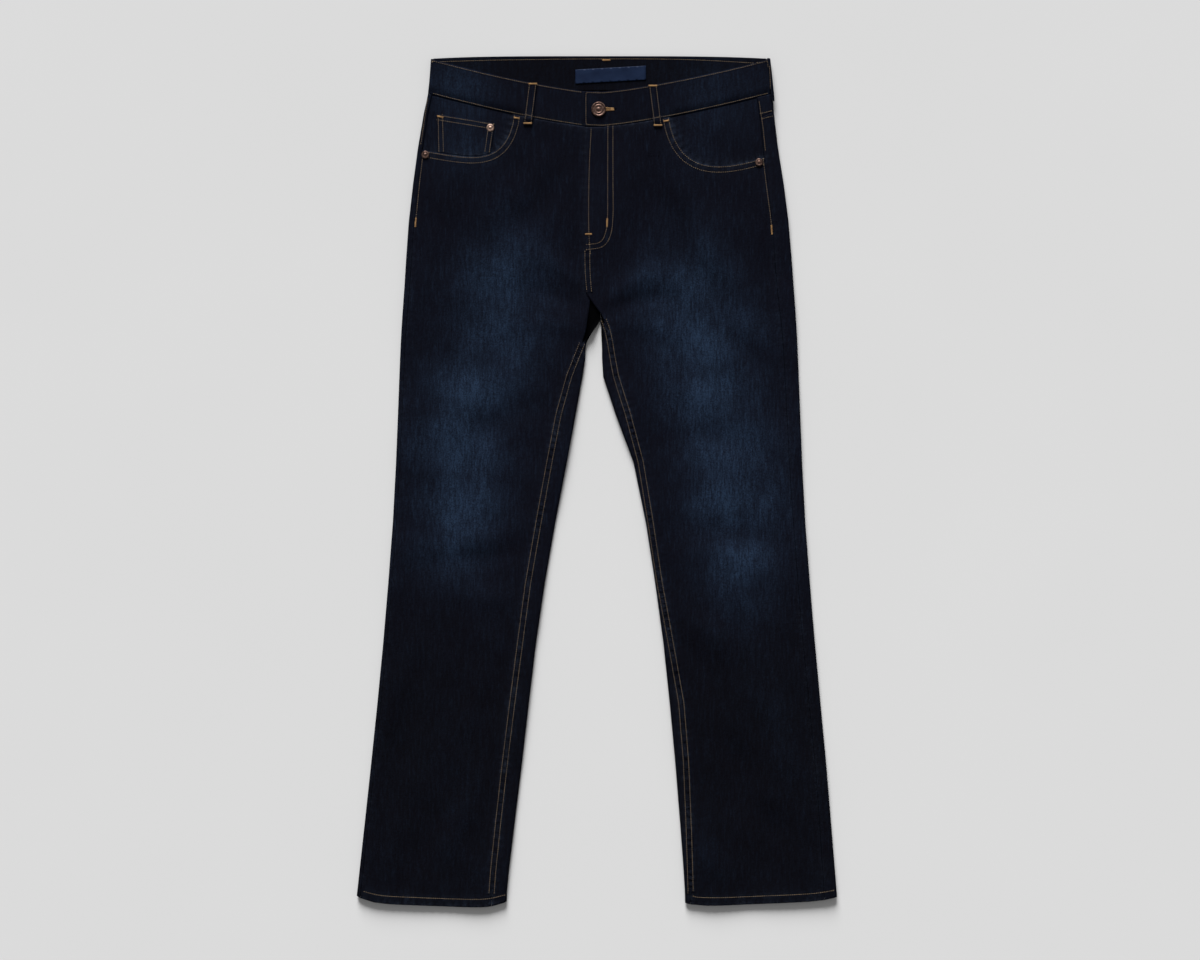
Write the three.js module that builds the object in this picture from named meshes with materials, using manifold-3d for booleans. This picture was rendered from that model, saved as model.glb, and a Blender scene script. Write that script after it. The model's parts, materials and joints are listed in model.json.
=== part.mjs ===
// Slim fit five-pocket jeans laid flat on their back, front up, with the legs a little apart.
// Millimetres. X runs to the wearer's left, Y to the waist, Z up from the surface the jeans lie on.
// Places on the cloth are given as "across", outward from the middle of the garment on either side,
// and "down", from the top edge of the waistband at the centre back towards the hem.
import * as THREE from "three";
import { mergeVertices } from "three/addons/utils/BufferGeometryUtils.js";
import Module from "manifold-3d";

const wasm = await Module();
wasm.setup();
const { clamp, lerp, smoothstep } = THREE.MathUtils;

// ---- Driving dimensions ----
const CLOTH = 1.2; // one layer of denim
const GAP = 0.3; // between neighbouring pieces, at seams and between layers
const BAND_CLOTH = 2.2; // the waistband, two layers and the seam allowance in it
const BAND_HEIGHT = 43.5;
const BAND_STEP = 0.9; // how far the waistband stands above the front panels
const BAND_OVERLAP = 30; // of the band's two ends at the centre front
const FLY_LAP = 8; // of the left front over the right at the centre front
const PATCH_CLOTH = 1.5; // back pockets and belt loops, hemmed
const HEM_DEPTH = 12;
const HEM_CLOTH = 2.2; // the hem's folded layers
const WAIST_TOP = 8.1; // height of the front panels' outer face at the waist
const LEG_TOP = 6.2; // the same on the legs
const SEAT_BASE = PATCH_CLOTH + GAP; // the back pockets hold the seat this far off the surface
const SEAT_ENDS = 310; // down, where the back starts to come down to the surface
const LEG_STARTS = 400; // down, where it lies on it
const HIP_STARTS = 120; // down, where the front starts to come down towards the legs

const FRONT_SEAM_CENTRE = 89; // down, the waistband's lower edge at the centre front
const SIDE_SEAM_DOWN = 47; // the same at the side folds
const BACK_SEAM_CENTRE = 43.5; // the same at the centre back
const DIP_POWER = 1.35; // how the front edge curves between centre and sides
const YOKE_AT_SIDE = 23; // height of the back yoke at the outseam
const YOKE_AT_CENTRE = 68; // and at the centre back

const LOOP_WIDTH = 10.5;
const LOOP_BELOW_BAND = 9;
const LOOP_STEP = 0.87; // how far down its length a loop steps off the band
const LOOP_BEHIND_OUTSEAM = 23;
const CENTRE_BACK = 8; // X of the seat seam at the waist
const FLY_EDGE = -14.6; // X of the left front's edge at the fly
const BAND_END = -15.6; // X of the waistband's upper end
const BUTTON_RADIUS = 9.2;
const SHANK_RADIUS = 2.4;
const RIVET_RADIUS = 4.8;

// ---- The two sides of the garment ----
// sides: a row for each level, with the side fold and how far in from it the outseam lies.
// middles: the back's inner fold (the seat seam above the crotch) and the front's inner edge.
// curl: between these levels the back's inner edge turns up from the seat seam to the inseam.
// mouth: the front pocket's edge, a cubic curve from the outseam to the waistband, [across, down].
// hem: the hem's level at the outer fold, at the inner fold, and how far its front hangs lower.
const RIGHT = {
  name: "right",
  sign: -1,
  sides: [
    { down: 0, fold: 207, outseam: 5 },
    { down: 47, fold: 211, outseam: 5 },
    { down: 80, fold: 218, outseam: 5 },
    { down: 132, fold: 226, outseam: 6 },
    { down: 207, fold: 235, outseam: 7 },
    { down: 282, fold: 240, outseam: 7 },
    { down: 357, fold: 245, outseam: 6 },
    { down: 507, fold: 251, outseam: 5 },
    { down: 582, fold: 255, outseam: 5 },
    { down: 732, fold: 267, outseam: 5 },
    { down: 882, fold: 282, outseam: 5 },
    { down: 1066, fold: 302, outseam: 5 },
  ],
  middles: [
    { down: 0, back: -8, front: 6.6 },
    { down: 240, back: -6.5, front: 6.6 },
    { down: 298, back: -5, front: 8 },
    { down: 320, back: -4.6, front: 10.5 },
    { down: 329, back: -4.2, front: 12 },
    { down: 344, back: 5, front: 14 },
    { down: 358, back: 13, front: 18.4 },
    { down: 377, back: 14.5, front: 26 },
    { down: 400, back: 18, front: 35 },
    { down: 447, back: 26.5, front: 48 },
    { down: 507, back: 37.5, front: 59.5 },
    { down: 582, back: 52, front: 73 },
    { down: 657, back: 65, front: 86 },
    { down: 732, back: 76, front: 96 },
    { down: 882, back: 93.5, front: 115 },
    { down: 1032, back: 111.5, front: 131 },
    { down: 1066, back: 113, front: 132 },
  ],
  curl: { from: 329, to: 358 },
  mouth: { side: [219, 117.5], first: [165, 125], second: [112, 146], top: [104, 70] },
  hem: { outer: 1048, inner: 1055, sag: 9 },
  loop: { top: 80, bottom: 86.5 },
};
const LEFT = {
  name: "left",
  sign: 1,
  sides: [
    { down: 0, fold: 214, outseam: 20 },
    { down: 47, fold: 219, outseam: 20 },
    { down: 95, fold: 222.5, outseam: 17 },
    { down: 132, fold: 229, outseam: 20 },
    { down: 207, fold: 239, outseam: 20 },
    { down: 282, fold: 245, outseam: 21 },
    { down: 357, fold: 250, outseam: 18 },
    { down: 507, fold: 256, outseam: 16 },
    { down: 582, fold: 260, outseam: 15 },
    { down: 732, fold: 272, outseam: 15 },
    { down: 882, fold: 286, outseam: 14 },
    { down: 1066, fold: 301, outseam: 16 },
  ],
  middles: [
    { down: 0, back: 8, front: FLY_EDGE },
    { down: 240, back: 6.5, front: FLY_EDGE },
    { down: 298, back: 5, front: -12 },
    { down: 310, back: 4.8, front: -4 },
    { down: 320, back: 4.6, front: 4 },
    { down: 342, back: 5, front: 13 },
    { down: 365, back: 6, front: 17.5 },
    { down: 390, back: 6.5, front: 21.5 },
    { down: 416, back: 10.5, front: 28 },
    { down: 447, back: 23, front: 38.5 },
    { down: 495, back: 42, front: 52 },
    { down: 564, back: 57.5, front: 64 },
    { down: 629, back: 68, front: 73.5 },
    { down: 689, back: 77, front: 83.5 },
    { down: 744, back: 84, front: 94 },
    { down: 807, back: 90.5, front: 105 },
    { down: 882, back: 97.5, front: 111 },
    { down: 1032, back: 109, front: 116.5 },
    { down: 1066, back: 110, front: 117 },
  ],
  curl: { from: 320, to: 342 },
  mouth: { side: [207, 127], first: [153, 143], second: [100, 150], top: [90, 74] },
  hem: { outer: 1049, inner: 1057, sag: 5 },
  loop: { top: 69.5, bottom: 76 },
};
// Levels of the sections down each leg, closer together where the four panels meet at the crotch.
const FRONT_LEVELS = [115, 160, 207, 240, 270, 298, 310, 322, 329, 342, 358, 377, 400, 447, 507, 582,
  657, 732, 807, 882, 957];
const BACK_LEVELS = [115, 160, 207, 250, 290, 315, 322, 329, 336, 344, 351, 358, 366, 377, 400, 447, 507,
  582, 657, 732, 807, 882, 957];
const LEVEL_ABOVE_HEM = 40;

// The value of a table's column at a level, on a smooth curve through the rows.
function along(table, column, down) {
  const last = table.length - 1;
  let k = table.findIndex((row) => row.down > down) - 1;
  if (k < 0) k = down >= table[last].down ? last - 1 : 0;
  const slope = (i) => {
    const a = table[Math.max(i - 1, 0)];
    const b = table[Math.min(i + 1, last)];
    return (b[column] - a[column]) / (b.down - a.down);
  };
  const [from, to] = [table[k], table[k + 1]];
  const step = to.down - from.down;
  const t = clamp((down - from.down) / step, 0, 1);
  return (
    from[column] * (1 + 2 * t) * (1 - t) ** 2 +
    slope(k) * step * t * (1 - t) ** 2 +
    to[column] * t * t * (3 - 2 * t) +
    slope(k + 1) * step * t * t * (t - 1)
  );
}

// ---- Heights and edges ----
const topHeight = (down) => lerp(WAIST_TOP, LEG_TOP, smoothstep(down, HIP_STARTS, LEG_STARTS));
const baseHeight = (down) => lerp(SEAT_BASE, 0, smoothstep(down, SEAT_ENDS, LEG_STARTS));

function section(side, down) {
  return { fold: along(side.sides, "fold", down), top: topHeight(down), base: baseHeight(down) };
}

function bandSection(side, down) {
  return { ...section(side, down), top: WAIST_TOP + BAND_STEP };
}

// The waistband's lower edge, on the front (share 1), on the back (share 0) or on the fold between.
function bandSeam(side, across, share) {
  const reach = clamp(across / along(side.sides, "fold", SIDE_SEAM_DOWN), 0, 1);
  const front = lerp(FRONT_SEAM_CENTRE, SIDE_SEAM_DOWN, reach ** DIP_POWER);
  const back = lerp(BACK_SEAM_CENTRE, SIDE_SEAM_DOWN, reach ** 4);
  return lerp(back, front, share);
}

function yokeSeam(side, across, share) {
  const reach = clamp(across / along(side.sides, "fold", SIDE_SEAM_DOWN), 0, 1);
  return bandSeam(side, across, share) + lerp(YOKE_AT_CENTRE, YOKE_AT_SIDE, reach);
}

// The hem's edge: straight across the back, hanging lower on the front except close to the folds.
function hemEdge(side, across, share) {
  const inner = along(side.middles, "back", side.hem.inner);
  const outer = along(side.sides, "fold", side.hem.outer);
  const t = clamp((across - inner) / (outer - inner), 0, 1);
  return lerp(side.hem.inner, side.hem.outer, t) + share * side.hem.sag * (1 - (2 * t - 1) ** 6);
}

// A point of the flattened tube, moved out from the cloth. "reach" runs along the cloth from the
// side fold, to the front when it is negative and to the back when it is positive.
function around({ fold, top, base }, reach, out) {
  const radius = (top - base) / 2;
  const quarter = (Math.PI * radius) / 2;
  const turn = clamp(reach / radius, -Math.PI / 2, Math.PI / 2);
  const past = Math.max(0, Math.abs(reach) - quarter);
  return {
    across: fold - radius - past + (radius + out) * Math.cos(turn),
    height: base + radius - (radius + out) * Math.sin(turn),
  };
}

// The reach of a line on the front that lies this far in from the side fold.
function frontReach({ top, base }, inset) {
  const radius = (top - base) / 2;
  return -((Math.PI * radius) / 2 + inset - radius);
}

// ---- Meshes ----
// A wall between an outer and an inner face. place(u, v, inner) gives a point of either, for u from
// 0 to 1 across the piece and v from 0 to 1 down it; us and vs list where the faces have their lines.
function wall(us, vs, place) {
  const positions = [];
  const index = [];
  const [columns, rows] = [us.length, vs.length];
  for (const inner of [false, true]) {
    for (const v of vs) {
      for (const u of us) positions.push(...place(u, v, inner));
    }
  }
  const at = (i, j, k) => (k * rows + j) * columns + i;
  const quad = (a, b, c, d) => index.push(a, b, c, a, c, d);
  for (let j = 0; j + 1 < rows; j++) {
    for (let i = 0; i + 1 < columns; i++) {
      quad(at(i, j, 0), at(i, j + 1, 0), at(i + 1, j + 1, 0), at(i + 1, j, 0));
      quad(at(i, j, 1), at(i + 1, j, 1), at(i + 1, j + 1, 1), at(i, j + 1, 1));
    }
    quad(at(0, j, 0), at(0, j, 1), at(0, j + 1, 1), at(0, j + 1, 0));
    const last = columns - 1;
    quad(at(last, j, 0), at(last, j + 1, 0), at(last, j + 1, 1), at(last, j, 1));
  }
  for (let i = 0; i + 1 < columns; i++) {
    quad(at(i, 0, 0), at(i + 1, 0, 0), at(i + 1, 0, 1), at(i, 0, 1));
    quad(at(i, rows - 1, 0), at(i, rows - 1, 1), at(i + 1, rows - 1, 1), at(i + 1, rows - 1, 0));
  }
  return faceOut(positions, index);
}

// A closed geometry with its faces pointing out, whichever side of the garment it was made for.
function faceOut(positions, index) {
  const corner = (k) => new THREE.Vector3().fromArray(positions, 3 * index[k]);
  let volume = 0;
  for (let k = 0; k < index.length; k += 3) {
    volume += corner(k).dot(corner(k + 1).cross(corner(k + 2)));
  }
  return new THREE.BufferGeometry()
    .setAttribute("position", new THREE.Float32BufferAttribute(positions, 3))
    .setIndex(volume < 0 ? index.slice().reverse() : index);
}

function solidOf(geometry) {
  const bare = geometry.clone();
  bare.deleteAttribute("normal");
  bare.deleteAttribute("uv");
  const merged = mergeVertices(bare, 1e-3);
  const vertProperties = merged.attributes.position.array;
  return new wasm.Manifold(
    new wasm.Mesh({ numProp: 3, vertProperties, triVerts: new Uint32Array(merged.index.array) }),
  );
}

function geometryOf(solid) {
  const made = solid.getMesh();
  return new THREE.BufferGeometry()
    .setAttribute("position", new THREE.Float32BufferAttribute(made.vertProperties, 3))
    .setIndex(new THREE.Uint32BufferAttribute(made.triVerts, 1));
}

const less = (geometry, cutter) => geometryOf(solidOf(geometry).subtract(solidOf(cutter)));
const within = (geometry, bounds) => geometryOf(solidOf(geometry).intersect(solidOf(bounds)));

// A prism on an outline of [across, down] points, between two heights.
function prism(side, outline, from, to) {
  const points = outline.map(([across, down]) => new THREE.Vector2(side.sign * across, -down));
  const geometry = new THREE.ExtrudeGeometry(new THREE.Shape(points), {
    depth: to - from,
    bevelEnabled: false,
  });
  return geometry.translate(0, 0, from);
}

const steps = (count, from = 0, to = 1) =>
  Array.from({ length: count + 1 }, (_, k) => lerp(from, to, k / count));
const point = (side, across, down, height) => [side.sign * across, -down, height];

// ---- Materials ----
const DENIM = new THREE.MeshStandardMaterial({ color: 0x141b2b, roughness: 0.92, metalness: 0 });
const LABEL_CLOTH = new THREE.MeshStandardMaterial({ color: 0x1b2c52, roughness: 0.55, metalness: 0 });
const COPPER = new THREE.MeshStandardMaterial({ color: 0x7d5240, roughness: 0.45, metalness: 0.85 });

// ---- Panels ----
// Rows of a panel: the seam at its top, the given levels, and the hem's edge with its fold above it.
function panelRows(levels, topEdge, side) {
  const straight = levels.map((level) => ({ down: () => level, cloth: CLOTH }));
  const hem = (above) => (across, share) => hemEdge(side, across, share) - above;
  return [
    { down: (across, share) => topEdge(side, across, share) + GAP, cloth: CLOTH },
    ...straight,
    { down: hem(LEVEL_ABOVE_HEM), cloth: CLOTH },
    { down: hem(HEM_DEPTH + 1), cloth: CLOTH },
    { down: hem(HEM_DEPTH), cloth: HEM_CLOTH },
    { down: hem(0), cloth: HEM_CLOTH },
  ];
}

// The front between its outseam and its inner edge. The right front slips under the left at the fly.
function frontPanel(side) {
  const rows = panelRows(FRONT_LEVELS, bandSeam, side);
  const columns = side === RIGHT ? [...steps(8, 0, 0.88), 0.92, 0.96, 1] : steps(9);
  const panel = wall(columns, rows.keys().toArray(), (u, j, inner) => {
    const down = rows[j].down;
    const ends = (level) => [
      along(side.sides, "fold", level) - along(side.sides, "outseam", level) - GAP / 2,
      along(side.middles, "front", level),
    ];
    let across = lerp(...ends(SIDE_SEAM_DOWN), u);
    for (let round = 0; round < 4; round++) across = lerp(...ends(down(across, 1)), u);
    const level = down(across, 1);
    const lap = side === RIGHT ? smoothstep(u, 0.85, 0.94) * (1 - smoothstep(level, 298, 329)) : 0;
    const top = topHeight(level) - lap * (CLOTH + GAP);
    return point(side, across, level, inner ? top - rows[j].cloth : top);
  });
  return less(panel, mouthPrism(side, 0, 0));
}

// The region above the front pocket's edge, out past the outseam and up past the waistband's seam.
// "inside" draws its edge in, so that a piece cut to it stays clear of the panel.
function mouthPrism(side, inside, from) {
  const { side: start, first, second, top } = side.mouth;
  const curve = new THREE.CubicBezierCurve(
    ...[start, first, second, top].map(([across, down]) => new THREE.Vector2(across, down)),
  );
  const edge = curve.getPoints(14).map((p, k) => {
    const tangent = curve.getTangent(k / 14);
    return [p.x + tangent.y * -inside, p.y + tangent.x * inside];
  });
  const [beyond, above] = [start[0] + 30, 20];
  return prism(side, [[beyond, edge[0][1]], ...edge, [top[0] + inside, above], [beyond, above]], from, 20);
}

// The back's section at a level, as a list of places along the cloth: from the outseam on the front,
// round the side fold, across the seat and round the inner fold to the inseam on the front again.
const FOLD_STEPS = 6;
const SEAT_STEPS = 5;
function backColumns() {
  return [
    { part: "flange", t: 0 },
    ...steps(FOLD_STEPS).map((t) => ({ part: "fold", t })),
    ...steps(SEAT_STEPS).slice(1).map((t) => ({ part: "seat", t })),
    ...steps(FOLD_STEPS).slice(1).map((t) => ({ part: "curl", t })),
    { part: "inner", t: 1 },
  ];
}

// How the back's inner edge turns up: a fold of fixed length that opens out flat above the crotch.
function curlOf(side, down) {
  const { top, base } = section(side, down);
  const length = (Math.PI * (top - base)) / 2;
  const angle = Math.max(1e-4, Math.PI * smoothstep(down, side.curl.from, side.curl.to));
  const radius = length / angle;
  const inner = along(side.middles, "back", down) + GAP / 2;
  const edge = along(side.middles, "front", down);
  const full = Math.max(1, edge - GAP - inner - radius);
  const flange = angle > 3 ? full : 1;
  const reach = angle < Math.PI / 2 ? radius * Math.sin(angle) + flange * Math.cos(angle) : radius;
  return { radius, angle, flange, start: inner + reach };
}

function backPoint(side, column, down, out) {
  const shape = section(side, down);
  const quarter = (Math.PI * (shape.top - shape.base)) / 4;
  if (column.part === "flange") {
    const inset = along(side.sides, "outseam", down) - GAP / 2;
    return around(shape, frontReach(shape, inset), out);
  }
  if (column.part === "fold") return around(shape, lerp(-quarter, quarter, column.t), out);
  const { radius, angle, flange, start } = curlOf(side, down);
  if (column.part === "seat") {
    const from = around(shape, quarter, out);
    return { across: lerp(from.across, start, column.t), height: shape.base - out };
  }
  const turn = angle * column.t;
  const straight = column.part === "inner" ? flange : 0;
  return {
    across: start - (radius + out) * Math.sin(turn) - straight * Math.cos(turn),
    height: shape.base + radius - (radius + out) * Math.cos(turn) + straight * Math.sin(turn),
  };
}

// How much of a place on the back's section belongs to the front of the garment.
function frontShare(side, column, down) {
  if (column.part === "flange") return 1;
  if (column.part === "fold") return 1 - column.t;
  if (column.part === "seat" || down < side.curl.to) return 0;
  return column.t;
}

// A piece of the back between two edges, wrapped over the folds with the section's columns.
function wrapped(side, rows, columns) {
  const lines = rows.keys().toArray();
  return wall(columns.keys().toArray(), lines, (i, j, inner) => {
    let level = SIDE_SEAM_DOWN;
    for (let round = 0; round < 4; round++) {
      const { across } = backPoint(side, columns[i], level, 0);
      level = rows[j].down(across, frontShare(side, columns[i], level));
    }
    const place = backPoint(side, columns[i], level, inner ? -rows[j].cloth : 0);
    return point(side, place.across, level, place.height);
  });
}

function backPanel(side) {
  return wrapped(side, panelRows(BACK_LEVELS, yokeSeam, side), backColumns());
}

function yoke(side) {
  const edge = (share) => (across, front) =>
    lerp(bandSeam(side, across, front) + GAP, yokeSeam(side, across, front), share);
  const rows = steps(2).map((share) => ({ down: edge(share), cloth: CLOTH }));
  return wrapped(side, rows, backColumns());
}

// ---- Waistband ----
// One strip round the waist: from its upper end over the fly, along the left front, round the left
// fold, along the back, round the right fold and along the right front to its end under the first.
function waistband() {
  const places = [
    ...steps(10).map((t) => ({ side: LEFT, part: "front", t })),
    ...steps(FOLD_STEPS).slice(1, -1).map((t) => ({ side: LEFT, part: "fold", t })),
    ...steps(12).map((t) => ({ side: LEFT, part: "back", t })),
    ...steps(12).slice(0, -1).reverse().map((t) => ({ side: RIGHT, part: "back", t })),
    ...steps(FOLD_STEPS).slice(1, -1).reverse().map((t) => ({ side: RIGHT, part: "fold", t })),
    ...steps(14).reverse().map((t) => ({ side: RIGHT, part: "front", t })),
  ];
  const heights = steps(3);
  return wall(places.keys().toArray(), heights, (i, v, inner) => {
    const { side, part, t } = places[i];
    const out = inner ? -BAND_CLOTH : 0;
    const level = SIDE_SEAM_DOWN - BAND_HEIGHT * (1 - v);
    const shape = bandSection(side, level);
    const quarter = (Math.PI * (shape.top - shape.base)) / 4;
    if (part === "fold") {
      const place = around(shape, lerp(-quarter, quarter, t), out);
      const seam = bandSeam(side, shape.fold, 1 - t);
      return point(side, place.across, seam - BAND_HEIGHT * (1 - v), place.height);
    }
    const front = part === "front";
    const fold = shape.fold - (shape.top - shape.base) / 2;
    const end = side === LEFT ? BAND_END : -(BAND_END + BAND_OVERLAP);
    const across = front ? lerp(end, fold, t) : lerp(fold, side.sign * CENTRE_BACK, t);
    const under = front && side === RIGHT ? 1 - smoothstep(across, -BAND_END + 3, -BAND_END + 32) : 0;
    const height = front ? shape.top + out - under * (BAND_CLOTH + GAP) : shape.base - out;
    const down = bandSeam(side, Math.abs(across), front ? 1 : 0) - BAND_HEIGHT * (1 - v);
    return point(side, across, down, height);
  });
}

// The button's place, and the keyhole worked through the band for its shank.
const BUTTON = { across: 2, down: 67 };
const BUTTONHOLE = { length: 22, width: 1.2, eye: SHANK_RADIUS + GAP };
function buttonhole() {
  const { length, width, eye } = BUTTONHOLE;
  const bottom = WAIST_TOP + BAND_STEP - BAND_CLOTH - GAP / 2;
  const slot = new THREE.BoxGeometry(length, width, 10).translate(length / 2, 0, 0);
  const round = new THREE.CylinderGeometry(eye, eye, 10, 20).rotateX(Math.PI / 2);
  const hole = geometryOf(solidOf(slot).add(solidOf(round)));
  return hole.translate(BUTTON.across, -BUTTON.down, bottom + 5);
}

// ---- Pieces on the front ----
// The denim facing that shows in the front pocket's mouth and runs on under the front panel.
function pocketFacing(side) {
  const { side: start, second, top } = side.mouth;
  const lowest = second[1] + 12;
  return wall(steps(7), steps(3), (u, v, inner) => {
    const levelAt = (across) => lerp(bandSeam(side, across, 1) + GAP, lowest, v);
    const ends = (level) => [
      along(side.sides, "fold", level) - along(side.sides, "outseam", level) - GAP,
      top[0] - 14,
    ];
    let across = start[0];
    for (let round = 0; round < 4; round++) across = lerp(...ends(levelAt(across)), u);
    const level = levelAt(across);
    const height = topHeight(level) - CLOTH - GAP - (inner ? CLOTH : 0);
    return point(side, across, level, height);
  });
}

const COIN = { topOuter: [200, 72.5], topInner: [127.5, 84.5], low: 130, lowOuter: 198.5, lowInner: 134 };
function coinPocket() {
  const { topOuter, topInner, low, lowOuter, lowInner } = COIN;
  const surface = WAIST_TOP - CLOTH;
  const outline = [topOuter, topInner, [lowInner, low], [lowOuter, low]];
  return within(prism(RIGHT, outline, surface, surface + CLOTH), mouthPrism(RIGHT, GAP, 0));
}

// A belt loop sewn flat over the band: from its top edge to a little below its lower edge, where it
// steps down to the cloth below. place(w, v, out) is the point at w across the loop, in mm.
function beltLoop(place) {
  const levels = [0, 0.5, 0.8, LOOP_STEP, 0.92, 1];
  return wall(steps(10, -0.5, 0.5), levels, (w, v, inner) =>
    place(w * LOOP_WIDTH, v, GAP + (inner ? 0 : PATCH_CLOTH)),
  );
}

function frontLoop(side) {
  const length = BAND_HEIGHT + LOOP_BELOW_BAND;
  const top = bandSeam(side, side.loop.top, 1) - BAND_HEIGHT;
  return beltLoop((w, v, out) => {
    const across = lerp(side.loop.top, side.loop.bottom, v) + w;
    const height = WAIST_TOP + (v > LOOP_STEP ? 0 : BAND_STEP);
    return point(side, across, top + v * length, height + out);
  });
}

function backLoop(side, reach) {
  const length = BAND_HEIGHT + LOOP_BELOW_BAND;
  const top = SIDE_SEAM_DOWN - BAND_HEIGHT;
  return beltLoop((w, v, out) => {
    const down = top + v * length;
    const shape = v > LOOP_STEP ? section(side, down) : bandSection(side, down);
    const place = around(shape, reach + w, out);
    return point(side, place.across, down, place.height);
  });
}

function centreLoop() {
  const length = BAND_HEIGHT + LOOP_BELOW_BAND;
  return prism(
    LEFT,
    [
      [CENTRE_BACK - LOOP_WIDTH / 2, 0.5],
      [CENTRE_BACK + LOOP_WIDTH / 2, 0.5],
      [CENTRE_BACK + LOOP_WIDTH / 2, length],
      [CENTRE_BACK - LOOP_WIDTH / 2, length],
    ],
    0,
    PATCH_CLOTH,
  );
}

const LABEL = { across: [-27, 61], down: [[17, 34.5], [12, 29.5]] };
function label() {
  const [[a, b], [left, right]] = [LABEL.across, LABEL.down];
  const face = SEAT_BASE + BAND_CLOTH + GAP;
  return prism(LEFT, [[a, left[0]], [b, right[0]], [b, right[1]], [a, left[1]]], face, face + 0.6);
}

// ---- Pieces on the back ----
const BACK_POCKET = { inner: 42, width: 148, height: 158, below: 22, taper: 8, point: 22, lean: 12 };
function backPocket(side) {
  const { inner, width, height, below, taper, point: tip, lean } = BACK_POCKET;
  const centre = side.sign * CENTRE_BACK;
  const top = yokeSeam(side, inner, 0) + below;
  return prism(
    side,
    [
      [centre + inner, top],
      [centre + inner + width, top - lean],
      [centre + inner + width - taper, top - lean + height - tip],
      [centre + inner + width / 2, top - lean / 2 + height],
      [centre + inner + taper, top + height - tip],
    ],
    0,
    PATCH_CLOTH,
  );
}

// ---- Metal ----
// A domed rivet head, or the button with its shank, turned about an upright axis.
function turned(profile, side, across, down, height) {
  const points = profile.map(([radius, z]) => new THREE.Vector2(radius, z));
  const geometry = new THREE.LatheGeometry(points, 24).rotateX(Math.PI / 2);
  return geometry.translate(...point(side, across, down, height));
}

function rivet(side, across, down, height) {
  const r = RIVET_RADIUS;
  const profile = [[0, 0], [r, 0], [r, 0.5], [r * 0.8, 1.1], [r * 0.4, 1.5], [0, 1.6]];
  return turned(profile, side, across, down, height);
}

function button() {
  const r = BUTTON_RADIUS;
  const drop = BAND_CLOTH + GAP;
  const profile = [
    [0, -drop], [SHANK_RADIUS, -drop], [SHANK_RADIUS, 0], [r * 0.9, 0], [r, 0.6], [r, 1.4],
    [r * 0.92, 2.1], [r * 0.8, 2.1], [r * 0.72, 1.6], [r * 0.3, 1.6], [r * 0.24, 2], [0, 2.1],
  ];
  return turned(profile, LEFT, BUTTON.across, BUTTON.down, WAIST_TOP + BAND_STEP + GAP);
}

// ---- Assembly ----
const jeans = new THREE.Group();
function add(name, geometry, material = DENIM) {
  const mesh = new THREE.Mesh(geometry, material);
  mesh.name = name;
  jeans.add(mesh);
}

for (const side of [RIGHT, LEFT]) {
  const outseam = frontReach(bandSection(side, 20), along(side.sides, "outseam", 20));
  add(`front_${side.name}`, frontPanel(side));
  add(`back_${side.name}`, backPanel(side));
  add(`yoke_${side.name}`, yoke(side));
  add(`pocket_facing_${side.name}`, pocketFacing(side));
  add(`back_pocket_${side.name}`, backPocket(side));
  add(`belt_loop_front_${side.name}`, frontLoop(side));
  add(`belt_loop_side_${side.name}`, backLoop(side, outseam + LOOP_BEHIND_OUTSEAM));
  const [across, down] = side.mouth.side;
  add(`rivet_side_${side.name}`, rivet(side, across - 5, down + 6, WAIST_TOP + GAP), COPPER);
}
add("waistband", less(waistband(), buttonhole()));
add("belt_loop_back", centreLoop());
add("coin_pocket", coinPocket());
add("rivet_coin", rivet(RIGHT, 133, 90, WAIST_TOP + GAP), COPPER);
add("label", label(), LABEL_CLOTH);
add("button", button(), COPPER);

// The origin is under the middle of the jeans, on the surface they lie on.
const box = new THREE.Box3().setFromObject(jeans);
const middle = box.getCenter(new THREE.Vector3());
jeans.position.set(-middle.x, -middle.y, -box.min.z);

export default jeans;
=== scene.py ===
"""Slim fit jeans laid flat on their back, front up: the looks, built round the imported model.

Lengths are in metres in the model's own frame, with X to the wearer's left, Y to the waist and Z up
off the floor. Every cloth piece is its solid's own form, cut finer and then creased and puckered.
"""
import json
import math

import bmesh
import bpy
import numpy as np
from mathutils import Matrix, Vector
from mathutils.bvhtree import BVHTree
from mathutils.kdtree import KDTree

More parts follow.
